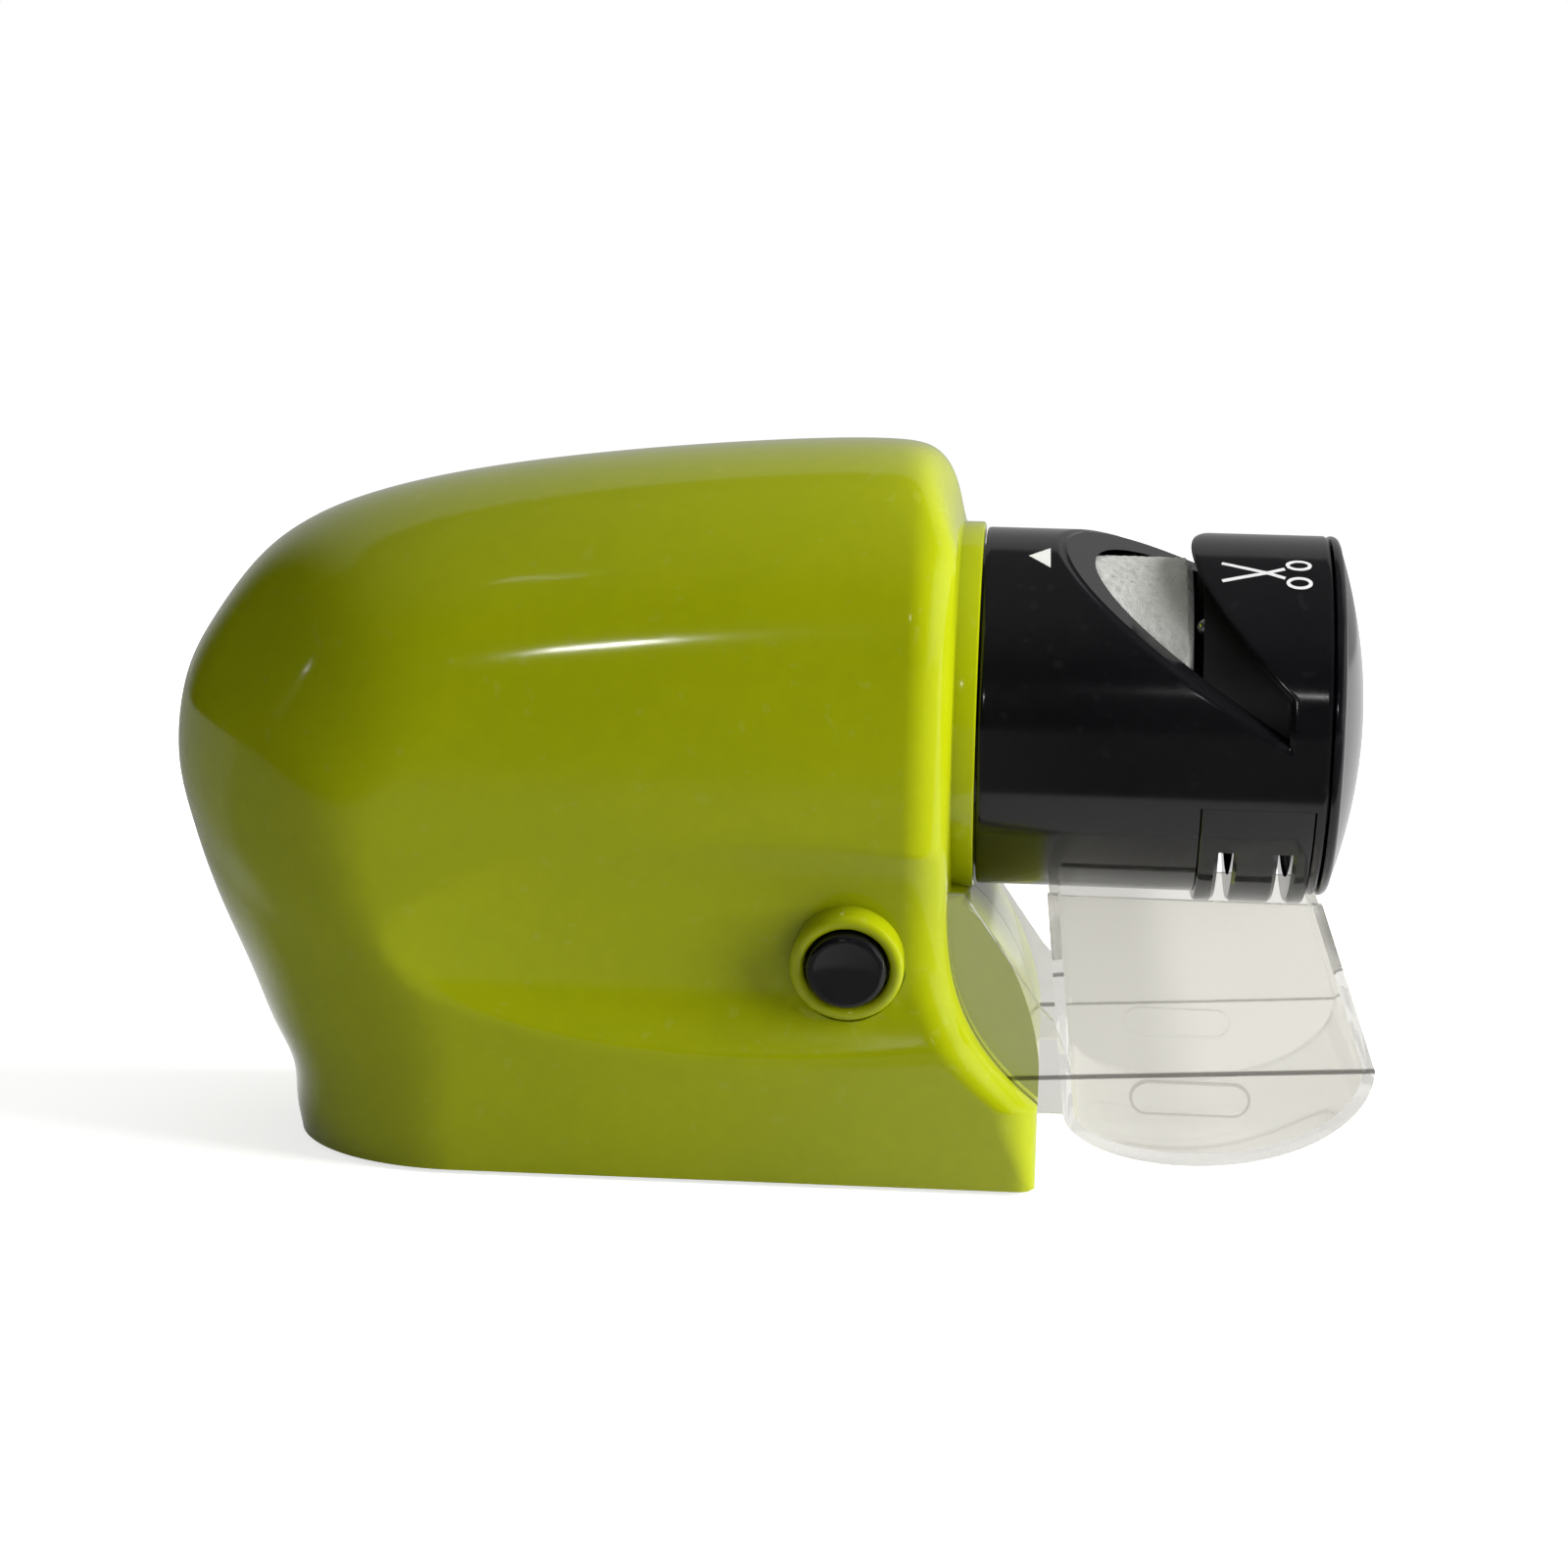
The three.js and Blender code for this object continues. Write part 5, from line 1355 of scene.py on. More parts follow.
    def slot_cutter(self) -> Shape:
        """The slot's section carried straight across the drum, then leaned towards the user."""
        top = self.radius + self.slot_over
        lower = self.radius - (self.slot_end - self.slot_tip) / self.slot_slope
        upper = self.end_depth + (self.slot_end - self.left_wall) / self.upper_slope
        tip = self.slot_tip - self.slot_over * self.slot_slope
        wall, end, half = self.left_wall, self.slot_end, self.slot_half_depth
        outline = [(tip, top), (end, lower), (end, self.end_depth), (wall, upper), (wall, top)]
        cutter = prism(np.array(outline) + [SEAT_X, AXIS_Z], -half, half)
        return lean(cutter, self.slot_tilt)

    def sector(self, middle: float, half: float, x0: float, x1: float, reach: float) -> Shape:
        """A wedge round the axis.

        Args:
            middle: Its middle's angle.
            half: Half the angle that it spans.
            x0: Where it starts from the seat.
            x1: Where it ends.
            reach: How far from the axis it goes.

        Returns:
            The solid.
        """
        turn = np.radians(np.linspace(middle - half, middle + half, self.sector_steps + 1))
        rim = np.stack([-reach * np.sin(turn), reach * np.cos(turn)], -1)
        outline = np.concatenate([[[0.0, 0.0]], rim]) + [0, AXIS_Z]
        return prism(outline, SEAT_X + x0, SEAT_X + x1, Axis.X)

    def drum(self) -> Shape:
        """The drum: a turned wall whose surface dips a little at the slot's edge, then cut by it.

        The radius at a point is the drum's, less the dip times the squared share of the edge's
        reach that the point is short of it.

        Returns:
            The solid.
        """
        start, end, (low, high) = self.gap, self.end, self.skin_margins
        inner, lip = start + self.inner_lip[0], self.inner_lip[1]
        skin = np.linspace(start + low, end - high, self.skin_columns)
        first = [*self.neck, *((start + x, radius) for x, radius in self.neck_bead)]
        last = [(end + x, radius) for x, radius in self.end_bead]
        last += [(end, self.bore), (inner, self.bore), (inner, lip)]
        x, radius = np.concatenate([first, np.insert(skin[:, None], 1, self.radius, 1), last]).T
        turn = np.arange(self.segments)[:, None] * 2 * np.pi / self.segments
        radius = np.tile(radius, (self.segments, 1))
        from_slot = (turn - math.radians(self.slot_tilt) + np.pi) % (2 * np.pi) - np.pi
        distance = self.slot_distance(x, from_slot)
        dip = self.edge_dip * (1 - np.clip(distance / self.edge_reach, 0, 1)) ** 2
        on_skin = slice(len(first), len(first) + len(skin))
        radius[:, on_skin] -= dip[:, on_skin]
        made = loft("drum", self.round_axis(x, radius, turn), True)
        carve(made, Boolean.CUT, self.slot_cutter())
        along, across = self.window_gap
        half = self.guide_half_angle + math.degrees(across / self.radius)
        low, high = self.guide_start - along, self.guide_end + along
        window = self.sector(self.slot_tilt + 180, half, low, high, self.cut_reach[0])
        return smooth(carve(made, Boolean.CUT, window))

    def end_cap(self) -> Shape:
        """The cap that closes the drum: a rim with a rounded edge, a dome and a spigot."""
        start, edge, radius = self.end + self.gap, self.cap_edge, self.radius
        face, foot = start + self.cap_rim, start - self.cap_spigot
        rim = arc((face - edge, radius - edge), edge, 90, 0, 10)
        across = np.linspace(radius - edge - self.cap_dome_margin, 0, 24)
        dome = face + self.cap_dome * (1 - (across / (radius - edge)) ** 2)
        spigot = self.bore - self.gap
        wall, cone = (spigot - depth for depth in self.cap_walls)
        inside = [
            (face, 0.0), (face, cone), (start, wall), (foot, wall), (foot, spigot), (start, spigot),
        ]
        bead = np.array(self.cap_bead) + [start, radius]
        profile = np.concatenate([inside, bead, rim, np.stack([dome, across], -1)])
        return smooth(turned("cap", profile, self.cap_segments))

    def saddle_reach(self, away: np.ndarray) -> np.ndarray:
        """The saddle's outer radius away from its middle: the drum's, or an offset circle's."""
        across = self.bulge_offset * np.sin(away)
        swell = self.bulge_offset * np.cos(away) + np.sqrt(self.bulge_radius**2 - across**2)
        return np.maximum(self.radius, swell)

    def saddle(self) -> Shape:
        """The knife guide: a quarter-moon band with rounded ends along X and two flared slots."""
        steps, bore, bulge = self.guide_steps, self.bore + self.gap, self.bulge_radius
        half = self.guide_half_angle
        away = np.radians(np.linspace(-half, half, steps))[:, None]
        inward, drop = np.array(self.guide_edge).T
        along = np.concatenate([self.guide_start + inward, (self.guide_end - inward)[::-1]])
        outer = self.saddle_reach(away) - np.concatenate([drop, drop[::-1]])
        radius = np.concatenate([outer, np.full((steps, 2), bore)], axis=1)
        x = np.concatenate([along, [self.guide_end, self.guide_start]])
        turn = math.radians(self.slot_tilt + 180) + away
        made = loft("saddle", self.round_axis(x, radius, turn))
        wide = self.mouth_half * (1 + self.mouth_over / self.mouth_depth)
        top, half, turn = bulge + self.mouth_over, self.knife_slot_half, self.slot_tilt + 180
        for x_slot in self.knife_slots:
            low, high = x_slot - wide, x_slot + wide
            mouth = [(low, top), (x_slot, bulge - self.mouth_depth), (high, top)]
            groove = turned("groove", mouth, self.fine_segments, 0.0, AXIS_Z - self.bulge_offset)
            slot = rod(self.cut_reach[0], x_slot - half, x_slot + half)
            carve(slot, Boolean.JOIN, lean(groove, self.slot_tilt))
            length = self.sector(turn, self.knife_slot_half_angle, low, high, self.cut_reach[1])
            carve(made, Boolean.CUT, carve(slot, Boolean.SHARE, length))
        return smooth(made)

    def inner_guide(self) -> Shape:
        """The black divider beside the wheel, with the liner that covers the knife wheel."""
        outer = self.bore - self.gap
        disc, liner = (
            turned("band", [(x0, bore), (x0, outer), (x1, outer), (x1, bore)], self.fine_segments)
            for (x0, x1), bore in (
                (self.divider, self.divider_bore), (self.liner, outer - self.liner_wall)
            )
        )
        half, reach = self.liner_half_angle, self.cut_reach[0]
        carve(liner, Boolean.SHARE, self.sector(self.slot_tilt, half, *self.liner_cut, reach))
        hole = rod(*self.pin_hole, self.pin_segments, 0.0, AXIS_Z + self.pin_height)
        hole = lean(hole, self.pin_angle)
        return smooth(carve(carve(disc, Boolean.JOIN, liner), Boolean.CUT, hole))

    def rest_pin(self) -> Shape:
        """The small steel pin that a blade rests on, with a rounded head."""
        radius, (start, end) = self.pin_radius, self.pin_span
        head = arc((start + radius, 0.0), radius, 180, 90, 8)
        profile = np.concatenate([head, [(end, radius), (end, 0.0)]])
        pin = turned("pin", profile, self.pin_segments, 0.0, AXIS_Z + self.pin_height)
        return smooth(lean(pin, self.pin_angle))

    def build(self, finishes: Finishes) -> None:
        """Makes and dresses every piece of the head."""
        for make, name, slot, node in (
            (self.drum, "drum_wall", "black_gloss", "head_drum"),
            (self.end_cap, "domed_cap", "black_gloss", "head_end_cap"),
            (self.saddle, "knife_saddle", "black_gloss", "knife_guide"),
            (self.inner_guide, "slot_divider", "black_matte", "scissor_guide"),
            (self.rest_pin, "rest_pin", "steel", "blade_rest_pin"),
        ):
            finishes.place(make(), name, slot, "head", node)
        self.signs(finishes)

    def on_drum(self, name: str, flat: np.ndarray, faces: list, finishes: Finishes) -> None:
        """Lays a thin printed shape on the drum, with a rim where an edge has one face only.

        Args:
            name: The piece's name.
            flat: Points (x from the seat, length round the drum from the top towards -Y).
            faces: The shape's faces.
            finishes: Where the print's finish is.
        """
        count, turn = len(flat), flat[:, 1] / self.radius
        layers = [
            self.round_axis(flat[:, 0], np.full(count, self.radius + layer), turn)
            for layer in self.print_layers
        ]
        edges = [(a, b) for face in faces for a, b in zip(face, face[1:] + face[:1])]
        back = [[i + count for i in face][::-1] for face in faces]
        rim = [[a, b, b + count, a + count] for a, b in edges if (b, a) not in edges]
        piece = solid(name, np.concatenate(layers), faces + back + rim)
        piece.data.materials.append(finishes.white_print)
        name_piece(piece, name, "head")

    def strip(self, line: np.ndarray, width: float, closed: bool = False) -> tuple:
        """A ribbon of even width: each point of a line is moved both ways square to the line.

        Args:
            line: The line's points.
            width: The ribbon's width.
            closed: Whether the line's last point joins its first.

        Returns:
            The ribbon's points and its faces.
        """
        tangent = np.gradient(line, axis=0)
        if closed:
            tangent = np.roll(line, -1, 0) - np.roll(line, 1, 0)
        tangent /= np.linalg.norm(tangent, axis=1)[:, None]
        side = np.stack([-tangent[:, 1], tangent[:, 0]], -1) * width / 2
        points = np.stack([line - side, line + side], 1).reshape(-1, 2)
        return points, grid_quads(len(line), 2, closed)

    def signs(self, finishes: Finishes) -> None:
        """The plain signs: a small triangle that points at the body and a pair of scissors."""
        to_length = [1.0, math.radians(1.0) * self.radius]
        first, second, tip = np.array(self.triangle) * to_length
        share = np.linspace(0, 1, self.triangle_steps)[:, None]
        fan = np.concatenate([[tip], first + (second - first) * share])
        faces = [[0, i + 1, i] for i in range(1, self.triangle_steps)]
        self.on_drum("turn_sign", fan, faces, finishes)
        centre = np.array(self.scissors) * to_length
        for sign, side in ((-1, "near"), (1, "far")):
            blade = centre + np.array(self.blade) * [1, sign]
            knots = np.linspace(0, len(blade) - 1, self.blade_steps)
            line = [np.interp(knots, range(len(blade)), values) for values in blade.T]
            blade_sign = self.strip(np.stack(line, -1), self.blade_width)
            ring = arc((0, 0), 1.0, 0, 360, self.ring_steps)[:-1] * self.ring_size
            ring = centre + np.array(self.ring_place) * [1, sign] + ring
            self.on_drum(f"{side}_blade_sign", *blade_sign, finishes)
            self.on_drum(f"{side}_ring_sign", *self.strip(ring, self.ring_width, True), finishes)


# Wheels, button and tray


@dataclass(frozen=True)
class Wheel:
    """An abrasive wheel with slightly uneven faces. Lengths in mm, along X from the seat."""

    name: str
    node: str
    profile: np.ndarray
    segments: int
    seed: int
    bore: float
    uneven: float = 0.05
    smooth_angle: float = 40.0

    def build(self, finishes: Finishes) -> None:
        """Turns the wheel, and moves its outer points in and out by a little seeded noise."""
        piece = turned(self.name, self.profile, self.segments)
        mesh = piece.data
        points = np.zeros(len(mesh.vertices) * 3)
        mesh.vertices.foreach_get("co", points)
        points = points.reshape(-1, 3) / MM
        away = points[:, 1:] - [0, AXIS_Z]
        radius = np.linalg.norm(away, axis=1)
        noise = np.random.default_rng(self.seed).normal(0, self.uneven, len(points))
        scale = np.where(radius > self.bore + 1, 1 + noise / np.maximum(radius, 1), 1)
        points[:, 1:] = [0, AXIS_Z] + away * scale[:, None]
        mesh.vertices.foreach_set("co", (points * MM).ravel())
        mesh.update()
        smooth(piece, self.smooth_angle)
        finishes.place(piece, self.name, "abrasive", "spindle", self.node)


@dataclass(frozen=True)
class Wheels:
    """The scissors wheel, a drum, and the knife wheel, with a bevel each side of a flat rim."""

    bore: float = 3.3
    scissor_span: tuple = (8.7, 28.7)
    scissor_radius: float = 21.4
    scissor_bevel: float = 0.9
    scissor_columns: int = 46
    knife_span: tuple = (35.4, 41.4)
    knife_radius: float = 19.6
    knife_bevel: float = 3.6
    knife_half_rim: float = 1.1
    segments: tuple = (280, 200)
    seeds: tuple = (5, 6)

    def build(self, finishes: Finishes) -> None:
        """Makes both wheels."""
        (start, end), radius, bevel = self.scissor_span, self.scissor_radius, self.scissor_bevel
        rim = np.linspace(start + bevel, end - bevel, self.scissor_columns)
        sides = [[(x, self.bore), (x, radius - bevel)] for x in (start, end)]
        rim = np.stack([rim, np.full_like(rim, radius)], -1)
        scissor = np.concatenate([sides[0], rim, sides[1][::-1]])
        (low, high), radius = self.knife_span, self.knife_radius
        middle, side = (low + high) / 2, radius - self.knife_bevel
        first, last = middle - self.knife_half_rim, middle + self.knife_half_rim
        knife = [
            (low, self.bore), (low, side), (first, radius), (last, radius), (high, side),
            (high, self.bore),
        ]
        for name, profile, segments, seed in zip(
            ("scissor", "knife"), (scissor, np.array(knife)), self.segments, self.seeds
        ):
            wheel = Wheel(f"{name}_stone", f"{name}_wheel", profile, segments, seed, self.bore)
            wheel.build(finishes)


@dataclass(frozen=True)
class PowerButton:
    """The green bezel and the dished black cap. Heights in mm out from the bezel's seat."""

    bezel_height: float = 2.9
    bezel_radius: float = 7.6
    bezel_bore: float = 5.7
    bezel_crown: float = 0.9
    cap_radius: float = 5.35
    cap_top: float = 3.9
    cap_depth: float = 3.6
    cap_edge: float = 0.9
    cap_dish: float = 0.6
    stem_radius: float = 2.0
    stem_length: float = 5.4
    dish_margin: float = 0.2
    segments: int = 128
    bezel_smooth_angle: float = 40.0

    def build(self, finishes: Finishes) -> None:
        """Makes both pieces."""
        axis, edge = ButtonAxis(), self.cap_edge
        crown = (self.bezel_radius - self.bezel_bore) / 2
        middle = (self.bezel_radius + self.bezel_bore) / 2
        dome = arc((0, 0), 1.0, 0, 180, 16) * [crown, self.bezel_crown]
        dome = dome + [middle, self.bezel_height - self.bezel_crown]
        bezel = np.concatenate([[[self.bezel_bore, 0.0], [self.bezel_radius, 0.0]], dome])
        ring = smooth(axis.turned("bezel", bezel, self.segments), self.bezel_smooth_angle)
        top, radius, foot = self.cap_top, self.cap_radius, self.cap_top - self.cap_depth
        rim = arc((radius - edge, top - edge), edge, 0, 90, 10)
        across = np.linspace(radius - edge - self.dish_margin, 0, 14)
        height = top - self.cap_dish * (1 - (across / (radius - edge)) ** 2)
        dish = np.stack([across, height], -1)
        stem, end = self.stem_radius, foot - self.stem_length
        sides = [[0, end], [stem, end], [stem, foot], [radius, foot]]
        cap = smooth(axis.turned("cap", np.concatenate([sides, rim, dish]), self.segments))
        finishes.place(ring, "button_ring", "green_body", "housing", "button_bezel")
        finishes.place(cap, "push_cap", "black_gloss", "button", "button_cap")


@dataclass(frozen=True)
class ReturnSpring:
    """The steel coil behind the cap, which shortens as the cap goes in.

    Heights are in mm out from the bezel's seat.
    """

    wire: float = 0.3
    radius: float = 3.2
    turns: float = 2.5
    low: float = -3.6
    high: float = 0.0
    pressed_share: float = 0.62
    steps: int = 121
    around: int = 16
    smooth_angle: float = 60.0

    def build(self, finishes: Finishes) -> None:
        """Makes the coil at its resting length, riding on the housing."""
        matrix = ButtonAxis().matrix()
        turn = np.linspace(0, self.turns * 2 * np.pi, self.steps)[:, None]
        middle = np.linspace(self.low + self.wire, self.high - self.wire, self.steps)[:, None]
        out, up = (self.wire * circle(self.around)).T
        reach = self.radius + out
        rings = np.stack([reach * np.cos(turn), reach * np.sin(turn), middle + up], -1)
        spring = loft("spring", rings)
        spring.data.transform(matrix)
        smooth(spring, self.smooth_angle)
        finishes.place(spring, "return_spring", "steel", "housing", "button_spring")
        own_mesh(spring)


@dataclass(frozen=True)
class DebrisTray:
    """The clear tray: a rounded belly, shoulders that lean in, and two flat wings.

    Lengths are in mm, and those along X are counted from the seat.
    """

    half_width: float = 25.0
    top_half_width: float = 13.5
    wall: float = 1.5
    top: float = 38.4
    reach: float = 54.7
    rear_x: float = 13.4
    rear_top_x: float = 10.3
    front_top_x: float = 47.8
    belly_x: float = 30.0
    belly: float = 4.2
    heel: float = 10.9
    crease_rear: float = 15.7
    crease_front: float = 18.3
    steps: int = 40
    half_space: float = 60.0
    head_room: float = 26.9
    head_segments: int = 160
    over: float = 1.0
    wing_x: tuple = (-8.0, -0.8, 10.1)
    wing_z: tuple = (10.6, 24.8, 40.0)
    grip_place: tuple = (30.3, 13.5)
    grip_half_length: float = 5.7
    grip_radius: float = 2.0
    grip_proud: float = 0.5
    smooth_angle: float = 25.0
    edge_radius: float = 0.25
    edge_angle: float = 40.0

    def side(self, inset: float, rise: float) -> np.ndarray:
        """The side view.

        It has two ellipse quarters for the belly, an upright heel, and leaning walls.

        Args:
            inset: How far inside the outer surface it lies.
            rise: How far past the top it goes.

        Returns:
            Points (x, z) in mm.
        """
        turn = np.linspace(0, np.pi / 2, self.steps)
        across, depth = self.reach - self.belly_x - inset, self.crease_front - self.belly - inset
        front = [self.belly_x + across * np.cos(turn), self.crease_front - depth * np.sin(turn)]
        turn = turn[1:]
        across, depth = self.belly_x - self.rear_x - inset, self.heel - self.belly - inset
        rear = [self.belly_x - across * np.sin(turn), self.heel - depth * np.cos(turn)]
        top = self.top + rise
        up = (top - self.heel) / (self.top - self.heel)
        forward = (top - self.crease_front) / (self.top - self.crease_front)
        walls = [
            [self.rear_x + (self.rear_top_x - self.rear_x) * up + inset, top],
            [self.reach + (self.front_top_x - self.reach) * forward - inset, top],
        ]
        return np.concatenate([np.stack(front, -1), np.stack(rear, -1), walls]) + [SEAT_X, 0]

    def section(self, inset: float, rise: float) -> Shape:
        """The cross section carried along X: upright sides to a climbing crease, then shoulders.

        Args:
            inset: How far inside the outer surface it lies.
            rise: How far past the top it goes.

        Returns:
            The solid.
        """
        slope = (self.crease_front - self.crease_rear) / (self.reach - self.rear_x)
        rings = []
        for x in (self.rear_top_x - self.wall, self.reach + self.wall):
            crease = self.crease_rear + slope * (x - self.rear_x)
            lean_in = (self.half_width - self.top_half_width) / (self.top - crease)
            wide, low = self.half_width - inset, self.belly - self.wall - inset
            narrow = self.top_half_width - inset - lean_in * rise
            half = [(wide, low), (wide, crease), (narrow, self.top + rise)]
            ring = half + [(-y, z) for y, z in reversed(half)]
            rings.append([(SEAT_X + x, y, z) for y, z in ring])
        return loft("section", np.array(rings))

    def tub(self, inset: float, rise: float) -> Shape:
        """The space that the side view and the section share."""
        side = prism(self.side(inset, rise), -self.half_space, self.half_space)
        return carve(side, Boolean.SHARE, self.section(inset, rise))

    def build(self, finishes: Finishes) -> None:
        """Makes the tray."""
        wall, half = self.wall, self.half_width
        head = rod(self.head_room, 0, self.reach, self.head_segments)
        tray = carve(self.tub(0, 0), Boolean.CUT, self.tub(wall, self.over), head)
        (rear, top_front, front), (low, high, top) = self.wing_x, self.wing_z
        end = self.rear_x + wall
        wing = [
            (rear, low), (end, low), (end, self.crease_rear), (front + wall, high - wall),
            (front, high), (top_front, top), (rear, top),
        ]
        length, radius = self.grip_half_length, self.grip_radius
        ends = ((length, -90, 90), (-length, 90, 270))
        grip = np.concatenate([arc((x, 0), radius, start, stop, 12) for x, start, stop in ends])
        grip = grip + [SEAT_X + self.grip_place[0], self.grip_place[1]]
        for side in (-1, 1):
            y = sorted((side * (half - wall), side * half))
            carve(tray, Boolean.JOIN, prism(np.array(wing) + [SEAT_X, 0], *y))
            y = sorted((side * (half - wall / 2), side * (half + self.grip_proud)))
            carve(tray, Boolean.JOIN, prism(grip, *y))
        smooth(tray, self.smooth_angle)
        bevel = tray.modifiers.new("soft_edges", "BEVEL")
        bevel.width = self.edge_radius * MM
        bevel.segments = 2
        bevel.limit_method = "ANGLE"
        bevel.angle_limit = math.radians(self.edge_angle)
        bevel.use_clamp_overlap = True
        tray.visible_shadow = False
        finishes.place(tray, "clear_tray", "clear_plastic", "tray", "debris_tray")


def dress_carried_nodes(finishes: Finishes) -> None:
    """Gives every CAD node that stays its slot's finish."""
    slots = {row["node"]: row["material_slot"] for row in frame["record"]["subparts"]}
    for name, node in frame["nodes"].items():
        node.data.materials.clear()
        node.data.materials.append(finishes.by_slot[slots[name]])


# Studio


@dataclass(frozen=True)
class Floor:
    """A white sheet on a table, whose front edges the photograph's reflections show.

    The camera sees it white. In gloss the table is dark grey before the body and black farther
    forward, and the sheet is grey before the body and pale before the head and behind. Clear
    plastic shows it pale. Four numbers are where a smooth step starts and ends along an axis, in
    metres, and its first and last value, which are 0 and 1 where there are two numbers.
    """

    x: tuple = (-1.2, 1.2)
    y: tuple = (-0.5, 1.6)
    near_colour: tuple = (0.68, 0.68, 0.67, 1)
    far_colour: tuple = (0.72, 0.72, 0.71, 1)
    gloss_colour: tuple = (0.04, 0.04, 0.04, 1)
    roughness: float = 0.9
    colour_ramp: tuple = (-0.10, 0.0)
    white_near: tuple = (-0.16, -0.02, 1.0, 0.72)
    white_far: tuple = (0.12, 0.30)
    sheet: tuple = (-0.069, -0.063)
    sheet_along: tuple = (-0.02, 0.05, 0.15, 0.66)
    sheet_behind: tuple = (-0.03, 0.03, 0.0, 0.85)
    sheet_left: tuple = (-0.17, -0.08, 0.32, 1.0)
    table: tuple = (-0.41, -0.35, 0.0, 0.15)
    table_along: tuple = (0.0, 0.06, 1.0, 0.1)
    clear_along: tuple = (0.056, 0.068, 0.65, 0.86)

    def gloss(self, x: Value, y: Value) -> Value:
        """How bright the sheet and the table are in a reflection."""
        tone = x.step(*self.sheet_along).at_least(y.step(*self.sheet_behind))
        sheet = y.step(*self.sheet) * tone * x.step(*self.sheet_left)
        return sheet.at_least(y.step(*self.table) * x.step(*self.table_along))

    def build(self) -> None:
        """Makes the floor and its material."""
        (left, right), (front, back) = self.x, self.y
        corners = [[left, front, 0], [right, front, 0], [right, back, 0], [left, back, 0]]
        floor = solid("floor", np.array(corners) / MM, [[0, 1, 2, 3]], False)
        surface = Surface("pale_floor")
        nodes, axes = surface.nodes, surface.axes()
        x, y, path = axes["X"], axes["Y"], nodes.add("LightPath")
        colour = nodes.mix(y.step(*self.colour_ramp), self.near_colour, self.far_colour)
        white = y.step(*self.white_near).at_least(y.step(*self.white_far))
        seen = path["Is Camera Ray"] * white
        reflected = path["Is Glossy Ray"] - path["Is Transmission Ray"]
        clear = path["Is Transmission Ray"] * x.step(*self.clear_along)
        floor.data.materials.append(surface.finish({
            "Base Color": nodes.mix(path["Is Glossy Ray"], colour, self.gloss_colour),
            "Roughness": self.roughness,
            "Specular IOR Level": 0.0,
            "Emission Strength": seen.at_least(self.gloss(x, y) * reflected).at_least(clear),
            "Emission Color": (1, 1, 1, 1),
        }))


@dataclass(frozen=True)
class Room:
    """The world: white to the camera, dim for matt surfaces, a room for gloss and clear plastic.

    The room is black towards the user and to the left, dim overhead, pale past the head's end, and
    has a pale backdrop behind the object where a direction is less than about 56 degrees up. The
    numbers are smooth steps, as the floor's are, along one axis of a direction.
    """

    backdrop: tuple = (0.0, 0.12, 0.0, 0.42)
    backdrop_top: tuple = (0.80, 0.845, 1.0, 0.0)
    overhead: tuple = (0.45, 1.0, 0.005, 0.12)
    left: tuple = (-0.75, -0.45)
    side_panel: tuple = (0.72, 0.92, 0.0, 0.75)
    clear: tuple = (-0.5, 0.3, 0.60, 0.83)
    matt: tuple = (-0.9, -0.1, 0.15, 0.265)

    def build(self) -> None:
        """Makes the world."""
        world = bpy.data.worlds.new("studio")
        world.use_nodes = True
        bpy.context.scene.world = world
        nodes = Nodes(world.node_tree)
        way = nodes.add("SeparateXYZ", {0: nodes.add("TexCoord")["Generated"]})
        x, y, z = way["X"], way["Y"], way["Z"]
        room = y.step(*self.backdrop) * z.step(*self.backdrop_top)
        room = room.at_least(z.step(*self.overhead)) * x.step(*self.left)
        room = room.at_least(x.step(*self.side_panel))
        path = nodes.add("LightPath")
        clear = path["Is Transmission Ray"] * y.step(*self.clear)
        lit = (path["Is Glossy Ray"] * room).at_least(clear)
        lit = lit.at_least(path["Is Diffuse Ray"] * y.step(*self.matt))
        shader = world.node_tree.nodes["Background"]
        nodes.put(shader.inputs["Color"], (1, 1, 1, 1))
        nodes.put(shader.inputs["Strength"], path["Is Camera Ray"].at_least(lit))


@dataclass(frozen=True)
class Lamp:
    """An area lamp that looks at a point, in metres. A glint lamp shows in gloss alone."""

    name: str
    place: tuple
    aim: tuple
    size: tuple
    watts: float
    glint: bool = False

    def build(self) -> None:
        """Makes the lamp."""
        data = bpy.data.lights.new(self.name, "AREA")
        data.shape = "RECTANGLE"
        data.size, data.size_y = self.size
        data.energy = self.watts
        lamp = bpy.data.objects.new(self.name, data)
        turn = (Vector(self.place) - Vector(self.aim)).to_track_quat("Z", "Y")
        lamp.matrix_world = Matrix.Translation(self.place) @ turn.to_matrix().to_4x4()
        lamp.visible_camera = lamp.visible_transmission = False
        lamp.visible_glossy, lamp.visible_diffuse = self.glint, not self.glint
        bpy.context.scene.collection.objects.link(lamp)


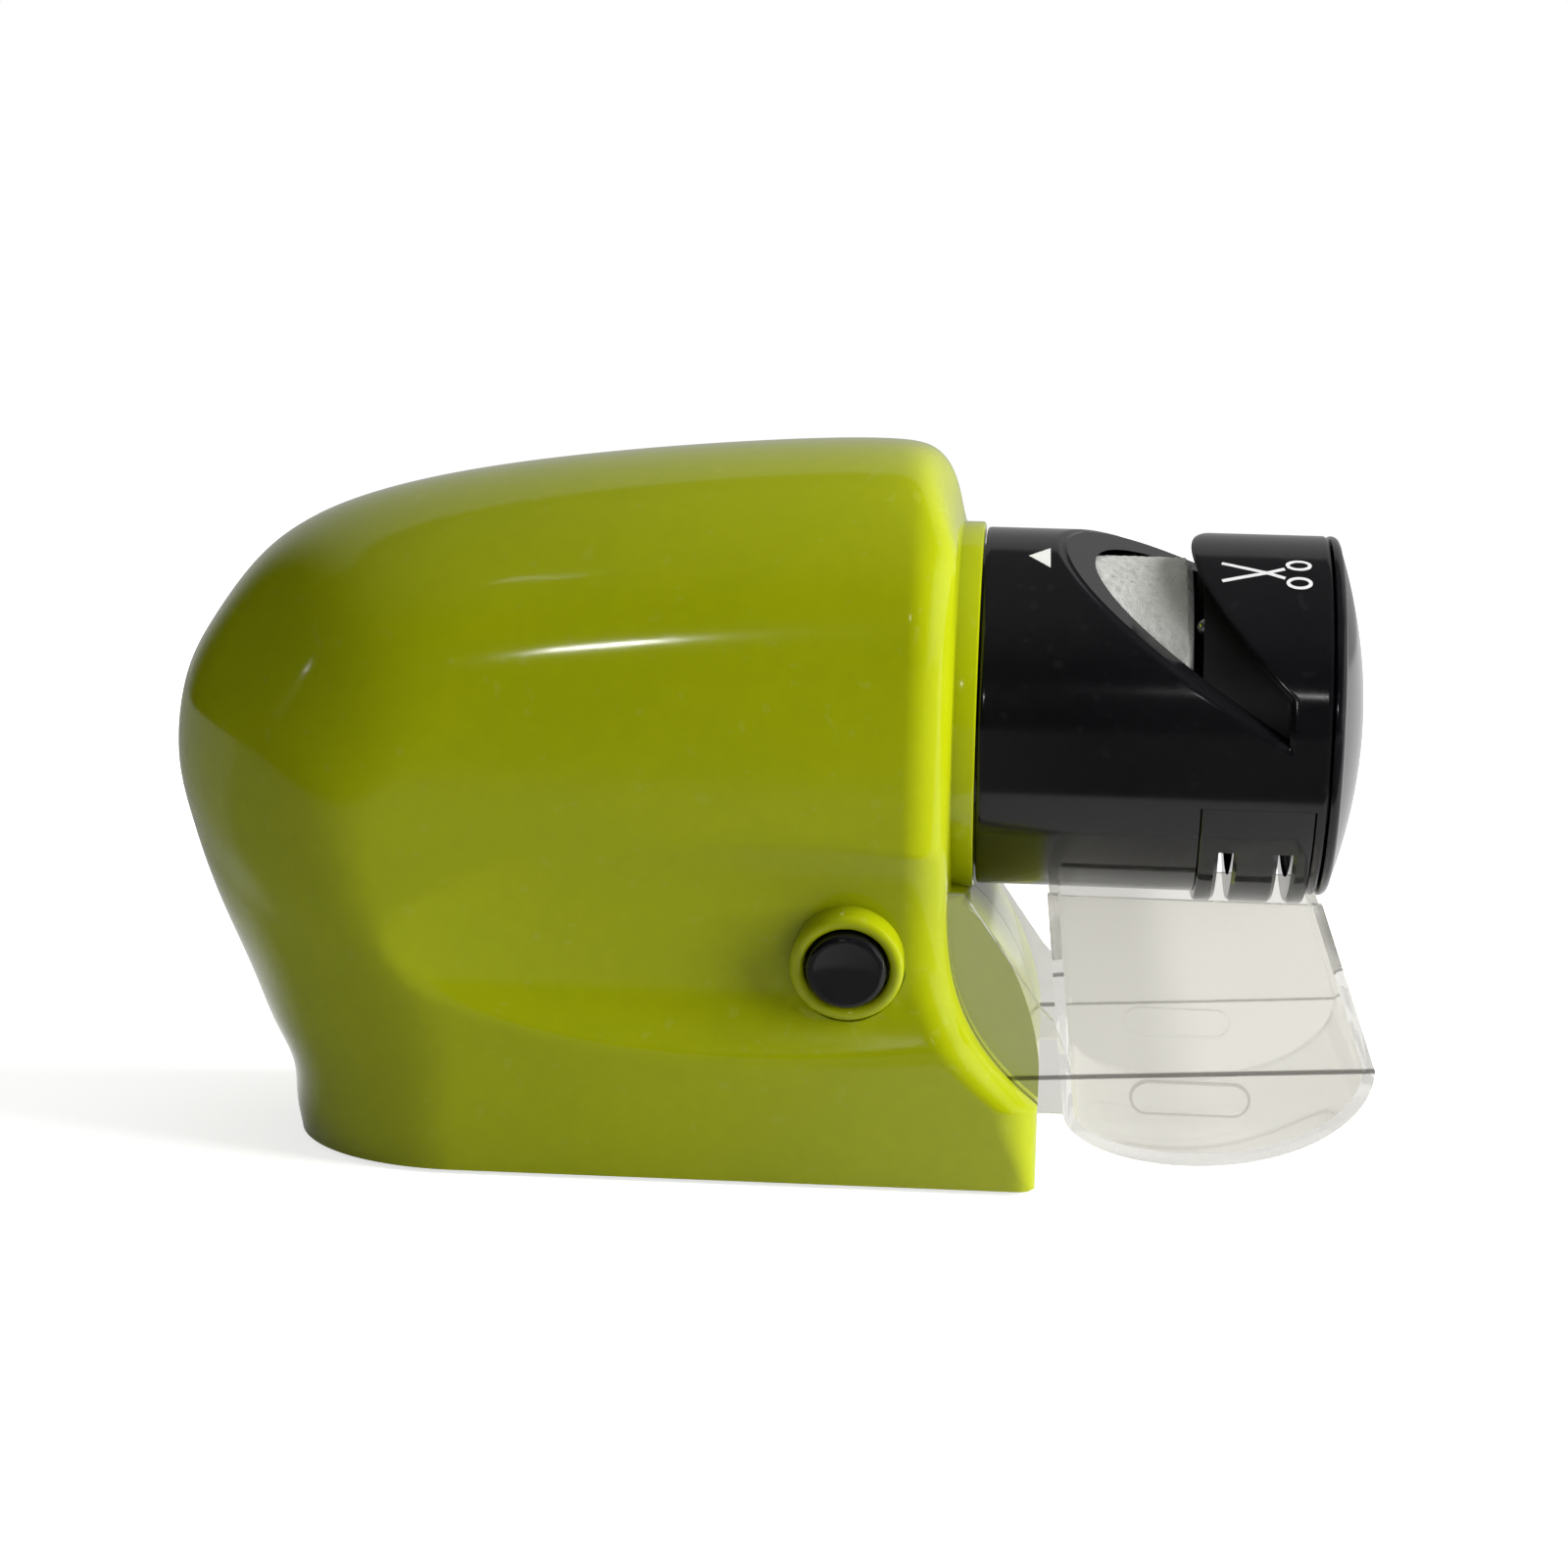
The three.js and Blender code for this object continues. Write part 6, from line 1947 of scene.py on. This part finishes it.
@dataclass(frozen=True)
class Studio:
    """Camera, floor, room and lamps, in metres and degrees.

    A key lamp and a low one stand at the head's end, a soft fill is above, and small lamps make the
    glints.
    """

    camera_place: tuple = (0.03915, -0.4504, 0.1118)
    yaw: float = -4.71
    pitch: float = -7.69
    roll: float = 1.39
    focal_share: float = 3281.3 / 1600
    sensor: float = 36.0
    clip: tuple = (0.01, 50)
    lamps: tuple = (
        Lamp("key", (1.15, -0.12, 0.56), (0, 0, 0.05), (1.0, 0.8), 37.0),
        Lamp("fill", (0.1, 0.15, 1.6), (0, 0, 0.05), (1.4, 1.0), 3.8),
        Lamp("low", (1.2, -0.26, 0.11), (0, 0, 0.03), (0.5, 0.14), 6.0),
    )
    glints: tuple = (
        ((-0.159, -1.209, 0.292), (-0.015, -0.036, 0.073), (0.060, 0.022), 0.36),
        ((-1.080, -0.577, 0.391), (-0.060, -0.033, 0.068), (0.009, 0.007), 0.018),
        ((-0.347, -0.637, 1.050), (-0.027, -0.033, 0.081), (0.007, 0.020), 0.010),
        ((-0.318, -0.660, 1.035), (-0.027, -0.033, 0.081), (0.006, 0.016), 0.008),
        ((-0.290, -0.690, 1.015), (-0.027, -0.033, 0.081), (0.006, 0.016), 0.008),
        ((0.162, -1.160, 0.440), (0.073, -0.024, 0.068), (0.050, 0.030), 0.08),
    )

    def camera(self) -> None:
        """The camera at the photograph's viewing angle."""
        yaw, pitch, roll = (math.radians(a) for a in (self.yaw, self.pitch, self.roll))
        level_way = Vector((math.sin(yaw), math.cos(yaw), 0)) * math.cos(pitch)
        forward = level_way + Vector((0, 0, math.sin(pitch)))
        level = Vector((math.cos(yaw), -math.sin(yaw), 0))
        above = level.cross(forward)
        right = math.cos(roll) * level + math.sin(roll) * above
        up = -math.sin(roll) * level + math.cos(roll) * above
        data = bpy.data.cameras.new("camera")
        data.sensor_width = self.sensor
        data.lens = self.focal_share * self.sensor
        data.clip_start, data.clip_end = self.clip
        camera = bpy.data.objects.new("camera", data)
        turn = Matrix([[right[i], up[i], -forward[i]] for i in range(3)])
        camera.matrix_world = Matrix.Translation(self.camera_place) @ turn.to_4x4()
        bpy.context.scene.collection.objects.link(camera)
        bpy.context.scene.camera = camera

    def build(self) -> None:
        """Sets everything up."""
        self.camera()
        Floor().build()
        Room().build()
        for lamp in self.lamps:
            lamp.build()
        for number, glint in enumerate(self.glints):
            Lamp(f"glint_{number}", *glint, True).build()


def main() -> None:
    """Builds the studio and every piece in order."""
    logging.basicConfig(level=logging.INFO, format="%(message)s")
    scene = bpy.context.scene
    scene.view_settings.view_transform = "Standard"
    for kind in ("max", "transmission", "glossy"):
        setattr(scene.cycles, f"{kind}_bounces", LIGHT_BOUNCES)
    Studio().build()
    finishes = Finishes()
    for assembly in (
        Housing(), TurningHead(), Wheels(), PowerButton(), ReturnSpring(), DebrisTray()
    ):
        assembly.build(finishes)
    dress_carried_nodes(finishes)


if __name__ == "__main__":
    main()
